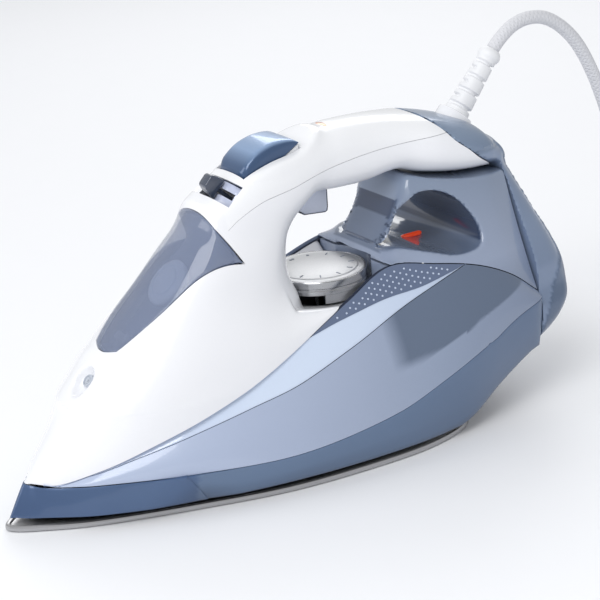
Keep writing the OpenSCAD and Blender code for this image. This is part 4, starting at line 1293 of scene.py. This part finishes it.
def pilot_lamp():
    """The heating lamp lying across the tail, and its lens seen in the window."""
    ends = [(0, 0), (1.2, 0.3), (1.8, 1.1), (2, 2.2), (2, 11.8), (1.8, 12.9), (1.2, 13.7), (0, 14)]
    x0, z0 = PILOT
    lamp = lathe("pilot_lamp", ends, lambda x, y, z: (x0 + z, x, z0 + y), 32)
    lens = lathe("lens", ends, lambda x, y, z: (x0 + z * 0.9, x * 0.7, z0 + 6 + y * 0.6), 32)
    return join(lamp, lens)


# ---------------------------------------------------------------- strain relief, tie and plug


def boot_radius(w):
    return float(curve([(-10, 6.5), (4, 6.5), (6.5, 6.4), (12, 6.1), (20, 5.7), (34, 5.1), (40, 4.9)], w))


def boot():
    """The strain relief: half-ring grooves, left and right in turn, and a bulb at its end."""
    rings = []
    for w in np.concatenate([[-10, 0], np.arange(4, 34.01, 0.35), np.linspace(34.4, 40, 16)]):
        line = []
        for a in np.arange(48) * math.tau / 48:
            r = boot_radius(w)
            if 5 < w < 33:
                for k, groove in enumerate(np.arange(6.6, 33, 4.2)):
                    near = max(0, 1 - (abs(w - groove) / 0.95) ** 4)
                    near_side = math.sin(a) * (1 if k % 2 else -1)
                    reach = min(1, max(0, (near_side + 0.42) / 0.2))
                    r -= 1.7 * near * reach
            if w >= 34:
                t = (w - 34) / 6
                r = 4.9 + 1.15 * math.sin(math.pi * min(1, t * 1.02)) ** 0.7 - 0.5 * t ** 4
            line.append(on_boot(r * math.cos(a), r * math.sin(a), w))
        rings.append(line)
    return finish_edges(fix_normals(rings_mesh("boot_ribbed", rings)), 40)


def collar():
    profile = [(6.6, -11.8), (9.3, -11.8), (9.4, 1.8), (9.1, 2.5), (8.4, 2.8), (7.2, 2.6), (6.6, 2.0),
               (6.6, -11.8)]
    return lathe("collar_face", profile, on_boot, 64)


def tie():
    """The strap round the coil's turns."""
    outer = [(-8.6, 0.6), (8.6, 0.6), (8.6, 30.4), (-8.6, 30.4)]
    inner = [(-7.4, 1.45), (7.4, 1.45), (7.4, 29.55), (-7.4, 29.55)]
    middle = COIL_INNER_R + CORD_D / 2

    def on_coil(u, v, w):
        return (COIL_CENTRE[0] + w, COIL_CENTRE[1] + middle + u, v)

    piece = prism("tie_strap", outer, on_coil, 3.6)
    cut(piece, prism("hole", inner, on_coil, 9))
    round_edges(piece, 0.5, 2, 40)
    return finish_edges(piece)


def plug():
    profile = [(0, 0), (16.8, 0), (17.7, -0.5), (18, -1.5), (18, -8.6), (17.2, -9.8), (14.4, -13.2),
               (13.7, -15), (13.2, -29), (12.4, -31.5), (9.6, -35.4), (8.2, -36)]
    w = -36.0
    while w > -56:
        r = 6 + (w + 36) * 1.7 / 20
        profile += [(r, w), (r, w - 2.2), (r - 1.0, w - 2.7), (r - 1.0, w - 3.5)]
        w -= 4.0
    profile += [(4.2, -57.4), (4.0, -58), (0, -58)]
    return lathe("plug_face", profile, lambda x, y, z: (PLUG[0] + x, PLUG[1] + z, PLUG[2] - y), 96)


# ---------------------------------------------------------------- materials


def linear(*colour):
    """sRGB given in 0 to 255, made linear."""
    out = []
    for c in colour:
        c = c / 255
        out.append(c / 12.92 if c < 0.04045 else ((c + 0.055) / 1.055) ** 2.4)
    return np.array(out)


# Every finish that has been made, under its own name.
MATERIALS = {}


def add_node(tree, kind, inputs, **settings):
    """A shader node; each input is given a value, or the output that feeds it."""
    node = tree.nodes.new("ShaderNode" + kind)
    for key, value in settings.items():
        setattr(node, key, value)
    return feed(tree, node, inputs)


def feed(tree, node, inputs):
    for key, value in inputs.items():
        if isinstance(value, bpy.types.NodeSocket):
            tree.links.new(value, node.inputs[key])
        else:
            node.inputs[key].default_value = value
    return node


def shader_of(tree):
    return tree.nodes["Principled BSDF"]


def raise_surface(tree, height, strength, depth):
    """Bumps of a depth in metres, from a height output."""
    bumps = add_node(tree, "Bump", {"Height": height, "Strength": strength, "Distance": depth})
    feed(tree, shader_of(tree), {"Normal": bumps.outputs["Normal"]})


def finish_of(name, colour, rough=0.35, metal=0.0, coat=0.0, spread=0.04, grain=900.0,
              bump=0.0, clear=0.0, glow=0.0, painted=False, stretch=(1, 1, 1)):
    """A procedural finish: a base colour or the mesh's painted one, with fine grain over it."""
    made = bpy.data.materials.new(name)
    made.use_nodes = True
    tree = made.node_tree
    spot = add_node(tree, "TexCoord", {})
    scale = add_node(tree, "Mapping", {"Vector": spot.outputs["Object"], "Scale": stretch})
    noise = add_node(tree, "TexNoise",
                     {"Vector": scale.outputs["Vector"], "Scale": grain, "Detail": 3})
    fleck = noise.outputs["Fac"]
    vary = add_node(tree, "MapRange", {"Value": fleck, "To Min": 1 - spread, "To Max": 1 + spread})
    base = (*linear(*colour), 1)
    if painted:
        base = add_node(tree, "Attribute", {}, attribute_name="paint").outputs["Color"]
    mix = add_node(tree, "Mix", {"Factor": 1, "A": base, "B": vary.outputs["Result"]},
                   data_type="RGBA", blend_type="MULTIPLY")
    worn = add_node(tree, "MapRange",
                    {"Value": fleck, "To Min": max(0.02, rough - 0.04), "To Max": rough + 0.04})
    feed(tree, shader_of(tree), {
        "Base Color": mix.outputs["Result"], "Roughness": worn.outputs["Result"],
        "Metallic": metal, "Coat Weight": coat, "Coat Roughness": 0.06, "IOR": 1.47,
        "Transmission Weight": clear})
    if glow:
        feed(tree, shader_of(tree), {
            "Emission Color": mix.outputs["Result"], "Emission Strength": glow})
    if bump:
        raise_surface(tree, fleck, bump, 0.0002)
    MATERIALS[name] = made
    return made


def see_through(name, colour, solid, rough=0.06):
    """Clear tinted plastic: part of the light goes straight through it."""
    made = finish_of(name, colour, rough, coat=1, spread=0.01)
    feed(made.node_tree, shader_of(made.node_tree), {"Alpha": solid})
    return made


def brushed_disc(name, colour):
    """Metal turned on a lathe: fine rings round the dial's axis."""
    made = finish_of(name, colour, 0.42, 0.55, spread=0.12, grain=1400)
    tree = made.node_tree
    spot = add_node(tree, "TexCoord", {})
    shift = add_node(tree, "Mapping",
                     {"Vector": spot.outputs["Object"], "Location": (-DIAL_X * MM, 0, 0)})
    rings = add_node(tree, "TexWave",
                     {"Vector": shift.outputs["Vector"], "Scale": 520, "Distortion": 1.2},
                     wave_type="RINGS", rings_direction="Z")
    raise_surface(tree, rings.outputs["Fac"], 0.12, 0.0001)
    return made


def braid(name, colour):
    """Woven strands that cross, along the cord's own UV map."""
    made = finish_of(name, colour, 0.62, grain=1500)
    tree = made.node_tree
    spot = add_node(tree, "TexCoord", {})
    waves = []
    for lean in (1, -1):
        turn = add_node(tree, "VectorMath",
                        {0: spot.outputs["UV"], 1: (math.tau * 6, lean * 2600, 0)},
                        operation="DOT_PRODUCT")
        wave = add_node(tree, "Math", {0: turn.outputs["Value"]}, operation="SINE")
        waves.append(wave.outputs["Value"])
    high = add_node(tree, "Math", {0: waves[0], 1: waves[1]}, operation="MAXIMUM")
    raise_surface(tree, high.outputs["Value"], 0.5, 0.0003)
    return made


def make_materials():
    finish_of("satin_steel", (176, 176, 178), 0.3, 0.85, grain=2500, stretch=(0.1, 1, 1))
    finish_of("cast_aluminium", (168, 170, 174), 0.5, 1, bump=0.4, spread=0.08)
    finish_of("dark_steel", (88, 86, 84), 0.45, 1, spread=0.1)
    finish_of("red_silicone", (176, 62, 44), 0.6)
    finish_of("plate_steel", (190, 190, 194), 0.35, 1, grain=1800)
    finish_of("ceramic", (236, 230, 216), 0.4, spread=0.03)
    finish_of("fuse_red", (190, 60, 40), 0.4)
    finish_of("screw_steel", (176, 178, 184), 0.3, 1)
    finish_of("black_phenolic", (34, 34, 38), 0.5, bump=0.2)
    finish_of("skirt_blue", (96, 117, 147), 0.34, 0.35, 0.55, painted=True, grain=2600)
    finish_of("tank_clear_blue", (150, 163, 190), 0.3, coat=0.7, painted=True, spread=0.015)
    finish_of("window_clear", (206, 218, 238), 0.12, coat=0.9, painted=True, spread=0.012)
    finish_of("shoulder_blue", (92, 106, 134), 0.3, coat=0.6, spread=0.02)
    finish_of("dot_blue", (188, 200, 222), 0.25, coat=0.6, spread=0.02)
    finish_of("white_gloss", (238, 239, 243), 0.22, coat=0.5, spread=0.008)
    finish_of("handle_white", (240, 241, 244), 0.25, coat=0.4, spread=0.008)
    finish_of("cover_clear_blue", (148, 161, 184), 0.18, coat=0.8, painted=True, spread=0.015)
    finish_of("band_blue", (120, 137, 163), 0.32, 0.3, 0.5, painted=True, spread=0.02)
    finish_of("heel_grey_blue", (70, 82, 106), 0.4, bump=0.15)
    finish_of("foot_rubber", (48, 52, 60), 0.75, bump=0.5)
    see_through("door_clear_blue", (146, 158, 186), 0.42)
    finish_of("basin_blue", (74, 90, 122), 0.4, coat=0.3, grain=60, spread=0.3)
    finish_of("door_edge_blue", (64, 84, 118), 0.2, coat=0.6)
    finish_of("pin_steel", (200, 202, 206), 0.22, 1)
    finish_of("black_plastic", (38, 42, 52), 0.4)
    finish_of("neck_blue", (176, 190, 214), 0.35, coat=0.3)
    finish_of("nozzle_grey", (186, 192, 202), 0.3)
    finish_of("tube_clear", (214, 220, 228), 0.2, coat=0.5)
    finish_of("smoke_clear", (70, 80, 100), 0.1, coat=1, clear=0.3)
    finish_of("white_inner", (224, 226, 230), 0.45)
    finish_of("lavender_clear", (196, 203, 226), 0.12, coat=0.8)
    finish_of("seat_brass", (196, 160, 92), 0.3, 1)
    finish_of("button_blue", (66, 92, 128), 0.3, 0.25, 0.6, painted=True)
    finish_of("pump_grey", (200, 204, 210), 0.4)
    finish_of("spring_steel", (188, 190, 194), 0.25, 1)
    finish_of("trigger_clear", (200, 208, 228), 0.14, coat=0.8, clear=0.25)
    brushed_disc("dial_metal", (196, 197, 199))
    finish_of("dial_chrome", (168, 169, 172), 0.2, 0.9, spread=0.02)
    finish_of("lamp_amber", (214, 120, 46), 0.15, coat=1, glow=0.15)
    finish_of("lamp_orange", (232, 72, 34), 0.2, coat=0.8, glow=0.4)
    finish_of("boot_white", (232, 233, 236), 0.45, bump=0.15, spread=0.015)
    braid("cord_braid", (216, 217, 222))
    finish_of("tie_grey", (96, 98, 104), 0.5)
    finish_of("plug_white", (234, 234, 236), 0.4, bump=0.1)
    finish_of("plug_metal", (206, 200, 186), 0.25, 1)
    finish_of("ink_grey", (120, 128, 142), 0.5)
    # Dark navy, worn by the sheet of painted shade inside the tank and by the strip round the trigger.
    finish_of("dark_inside", (36, 46, 68), 0.45)


make_materials()


def wear(piece, slot_name, finish=None):
    """Puts the slot's finish on the piece, or another one that stands for it."""
    made = MATERIALS[finish or slot_name]
    piece.data.materials.clear()
    piece.data.materials.append(made)
    return piece


def paint(piece, colour_at):
    """Stores a colour at each point, worked out from where the point is, in millimetres."""
    mesh = piece.data
    co = np.empty(len(mesh.vertices) * 3)
    mesh.vertices.foreach_get("co", co)
    co = co.reshape(-1, 3) / MM
    normal = np.empty(len(mesh.vertices) * 3)
    mesh.vertices.foreach_get("normal", normal)
    rgb = colour_at(co[:, 0], co[:, 1], co[:, 2], normal.reshape(-1, 3))
    layer = mesh.color_attributes.new("paint", "FLOAT_COLOR", "POINT")
    layer.data.foreach_set("color", np.column_stack([rgb, np.ones(len(rgb))]).ravel())
    return piece


def blend_colours(t, *stops):
    """Colours in 0 to 255 at places along t, mixed in between, as linear ones."""
    places = [s[0] for s in stops]
    table = np.array([linear(*s[1]) for s in stops])
    return np.stack([np.interp(t, places, table[:, i]) for i in range(3)], axis=1)


def mix_to(base, other, amount):
    """Linear colours moved towards another colour."""
    return base + (linear(*other) - base) * np.clip(amount, 0, 1)[:, None]


def skirt_colour(x, y, z, normal):
    base = blend_colours(x, (-152, (60, 84, 122)), (-100, (74, 98, 134)), (-77, (72, 96, 132)),
                         (-75.5, (98, 119, 148)), (20, (96, 118, 148)), (124, (88, 108, 138)))
    # Faces that point down are mixed towards dark navy: painted shade under the skirt.
    return mix_to(base, (30, 44, 70), (1 - normal[:, 2] - 1.2) / 0.6)


def tank_colour(x, y, z, normal):
    base = blend_colours(x, (-137, (178, 190, 214)), (-60, (170, 182, 207)), (10, (156, 168, 192)),
                         (60, (140, 153, 177)), (124, (122, 135, 160)))
    line = np.interp(z, [42, 59, 72], [49, 82, 122])
    window_low = curve(WINDOW_Z, x)
    near_window = (window_low - z < 26) & (x > 30)
    dark = np.clip((x - 30) / 10, 0, 1) * np.clip((line - x) / 2.5 + 0.5, 0, 1) * near_window
    dark = dark * np.clip((z - 44 - 0.12 * (x - 30)) / 4, 0, 1)
    return mix_to(base, (84, 99, 122), dark * 0.9)


def window_colour(x, y, z, normal):
    return blend_colours(x, (-133, (196, 208, 232)), (-40, (208, 221, 241)), (30, (202, 215, 236)),
                         (84, (176, 190, 214)))


def cover_colour(x, y, z, normal):
    base = blend_colours(z, (58, (110, 123, 147)), (84, (146, 158, 182)), (100, (140, 152, 175)),
                         (128, (124, 138, 160)))
    off = flat_distance(WINDOW_LINE, x, z)
    tunnel_shade = (off < 2.6) * np.clip((-cover_side(x, y, z) - 0.7) / 1.2, 0, 1)
    floor = tunnel_shade * (normal[:, 2] > 0.5)
    # Inside the window's tunnel the colour is mixed to dark navy: painted shade in the recess.
    base = mix_to(base, (40, 56, 86), tunnel_shade * 0.92)
    # The tunnel's upward-facing floor is mixed back towards a lighter blue: painted light where the floor
    # faces up.
    return mix_to(base, (112, 126, 150), floor * 0.75)


def band_colour(x, y, z, normal):
    base = blend_colours(z, (32, (76, 93, 119)), (60, (92, 109, 135)), (92, (112, 128, 152)),
                         (118, (100, 117, 142)), (145, (132, 149, 173)), (158, (120, 137, 163)))
    ahead = ahead_of_step(x, z) > 0
    return mix_to(base, (138, 154, 182), ahead * (z > 44) * (z < 132) * 0.6)


def button_colour(x, y, z, normal):
    # Upward-facing faces are mixed from dark blue to light blue, less so near the nose: painted light on
    # the button's top.
    up = np.clip((normal[:, 2] - 0.45) / 0.4, 0, 1) * np.clip((x + 19) / 8, 0.1, 1)
    low = np.tile(linear(56, 82, 118), (len(x), 1))
    return mix_to(low, (138, 164, 200), up)


# ---------------------------------------------------------------- putting the object together


def place(piece, body, slot_name, *replaced, finish=None, paint_with=None):
    """Finishes a piece, ties it to its body and hides the CAD nodes it replaces."""
    wear(piece, slot_name, finish)
    if paint_with:
        paint(piece, paint_with)
    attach(piece, body)
    if replaced:
        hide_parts(*replaced)
    return piece


def tank_liner():
    """The inside of the tank seen through the gaps: a plain dark shell just behind the panels, a sheet of
    painted shade for the tank's shaded inside.
    """
    grid = []
    for x in np.linspace(-132, 122.5, 60):
        low, high = float(skirt_top(x)) + 1.0, float(border_foot(x)) - 0.4
        high = max(high, low + 0.2)
        grid.append([(x, -max(0.6, float(tank_y(x, z)) - 3.0), z) for z in np.linspace(low, high, 7)])
    return mirrored(thicken("tank_liner", grid, 0.8, 0))


def build_body():
    place(soleplate(), "iron", "satin_steel", "soleplate")
    place(skirt(), "iron", "skirt_blue", "skirt", paint_with=skirt_colour)
    place(skirt_floor(), "iron", "skirt_blue", "skirt", paint_with=skirt_colour)
    panel, window, shoulder = tank_panels()
    place(panel, "iron", "tank_clear_blue", "water_tank", paint_with=tank_colour)
    place(window, "iron", "tank_clear_blue", "water_tank", finish="window_clear",
          paint_with=window_colour)
    place(shoulder, "iron", "tank_clear_blue", "water_tank", finish="shoulder_blue")
    place(shoulder_dots(), "iron", "tank_clear_blue", "water_tank", finish="dot_blue")
    place(tank_liner(), "iron", "tank_clear_blue", "water_tank", finish="dark_inside")
    front, top = body_shells()
    place(front, "iron", "white_gloss", "front_housing")
    place(top, "iron", "handle_white", "handle_shell")
    place(rear_cover(), "iron", "cover_clear_blue", "rear_cover", paint_with=cover_colour)
    place(rear_band(), "iron", "band_blue", "rear_band", paint_with=band_colour)
    place(door_basin(), "iron", "white_gloss", "front_housing", finish="basin_blue")
    place(filler_cap(), "iron", "neck_blue", "filler_cap")
    place(nozzle(), "iron", "nozzle_grey", "spray_nozzle")
    place(slider_track(), "iron", "lavender_clear", "slider_track")
    place(handle_lamp(), "iron", "lamp_amber", "handle_lamp")
    place(pilot_lamp(), "iron", "lamp_orange", "heating_lamp")
    place(boot(), "iron", "boot_white", "cord_boot")
    place(collar(), "iron", "white_gloss", "cord_collar")


def build_moving():
    door = place(filling_door(), "door", "door_clear_blue", "filling_door")
    door.data.materials.append(MATERIALS["door_edge_blue"])
    place(slider_knob(), "slider", "smoke_clear", "steam_slider")
    place(spray_button(), "spray", "button_blue", "spray_button", paint_with=button_colour)
    place(button_wedge(), "spray", "white_gloss", "button_base")
    place(steam_trigger(), "trigger", "trigger_clear", "steam_trigger")
    place(trigger_edge(), "trigger", "trigger_clear", "steam_trigger", finish="dark_inside")
    place(dial_disc(), "dial", "dial_metal", "temperature_dial")
    place(dial_marks(), "dial", "dial_metal", "temperature_dial", finish="ink_grey")
    place(dial_chrome(), "dial", "dial_chrome", "dial_ring")


def build_cord():
    path = smooth_route(CORD_ROUTE, 6)[:-1] + [np.array(p) for p in coil_points()]
    piece, length = cord_tube("cord", path, CORD_D / 2)
    place(piece, "iron", "cord_braid", "power_cord", "cord_coil")
    strap = place(tie(), "iron", "tie_grey", "cord_tie")
    end = place(plug(), "iron", "plug_white", "plug_body")
    route = [[float(v) * MM for v in p] for p in path]


SLOT_OF_NODE = {
    "heater_casting": "cast_aluminium", "heating_element": "dark_steel",
    "chamber_seal": "red_silicone", "chamber_cover": "plate_steel", "thermostat": "ceramic",
    "spindle_bearing": "ceramic", "thermal_fuse": "fuse_red", "sole_screws": "screw_steel",
    "heel_screws": "screw_steel", "heat_shield": "black_phenolic", "heel_plate": "heel_grey_blue",
    "heel_feet": "foot_rubber", "door_lugs": "door_clear_blue", "door_pin": "pin_steel",
    "dial_spindle": "pin_steel", "dosing_needle": "pin_steel", "door_bracket": "black_plastic",
    "filler_neck": "neck_blue", "spray_tube": "tube_clear", "slider_bearing": "white_inner",
    "needle_guide": "white_inner", "spray_piston": "white_inner", "boost_piston": "white_inner",
    "terminal_block": "white_inner", "valve_seat": "seat_brass", "spray_cylinder": "pump_grey",
    "boost_cylinder": "pump_grey", "spray_spring": "spring_steel", "boost_spring": "spring_steel",
    "plug_pins": "plug_metal",
}


def dress_nodes():
    """Puts finishes on the CAD nodes that are carried over."""
    for name, slot_name in SLOT_OF_NODE.items():
        piece = nodes[name]
        for part in [piece] + list(piece.children_recursive):
            if part.type == "MESH":
                part.data.materials.clear()
                part.data.materials.append(MATERIALS[slot_name])


def soft_light(name, place_at, aim, size, power, colour=(1, 1, 1)):
    data = bpy.data.lights.new(name, "AREA")
    data.shape = "RECTANGLE"
    data.size, data.size_y = size
    data.energy = power
    data.color = colour
    light = bpy.data.objects.new(name, data)
    light.location = place_at
    light.rotation_euler = (Vector(aim) - Vector(place_at)).to_track_quat("-Z", "Y").to_euler()
    bpy.context.scene.collection.objects.link(light)


def studio():
    half = 9000
    corners = [(-half, -half, 0), (half, -half, 0), (half, half, 0), (-half, half, 0)]
    floor = new_piece("floor", corners, [(0, 1, 2, 3)])
    floor.location.z = -0.0002
    floor.data.materials.append(finish_of("floor_white", (246, 247, 250), 0.55, spread=0.004, grain=40))
    world = bpy.data.worlds.new("studio")
    bpy.context.scene.world = world
    world.use_nodes = True
    sky = world.node_tree.nodes["Background"]
    sky.inputs["Color"].default_value = (0.98, 0.99, 1, 1)
    sky.inputs["Strength"].default_value = 0.6
    soft_light("key", (-0.9, -0.7, 1.2), (0, 0, 0.06), (0.9, 0.9), 12.5)
    soft_light("side", (-1.3, 0.5, 0.7), (0, 0, 0.07), (0.7, 0.7), 4)
    soft_light("rim", (0.7, 0.9, 0.9), (0, 0, 0.08), (0.7, 0.7), 4)
    bpy.context.scene.view_settings.view_transform = "Standard"
    bpy.context.scene.view_settings.look = "None"


build_cord()
build_body()
build_moving()
dress_nodes()
studio()
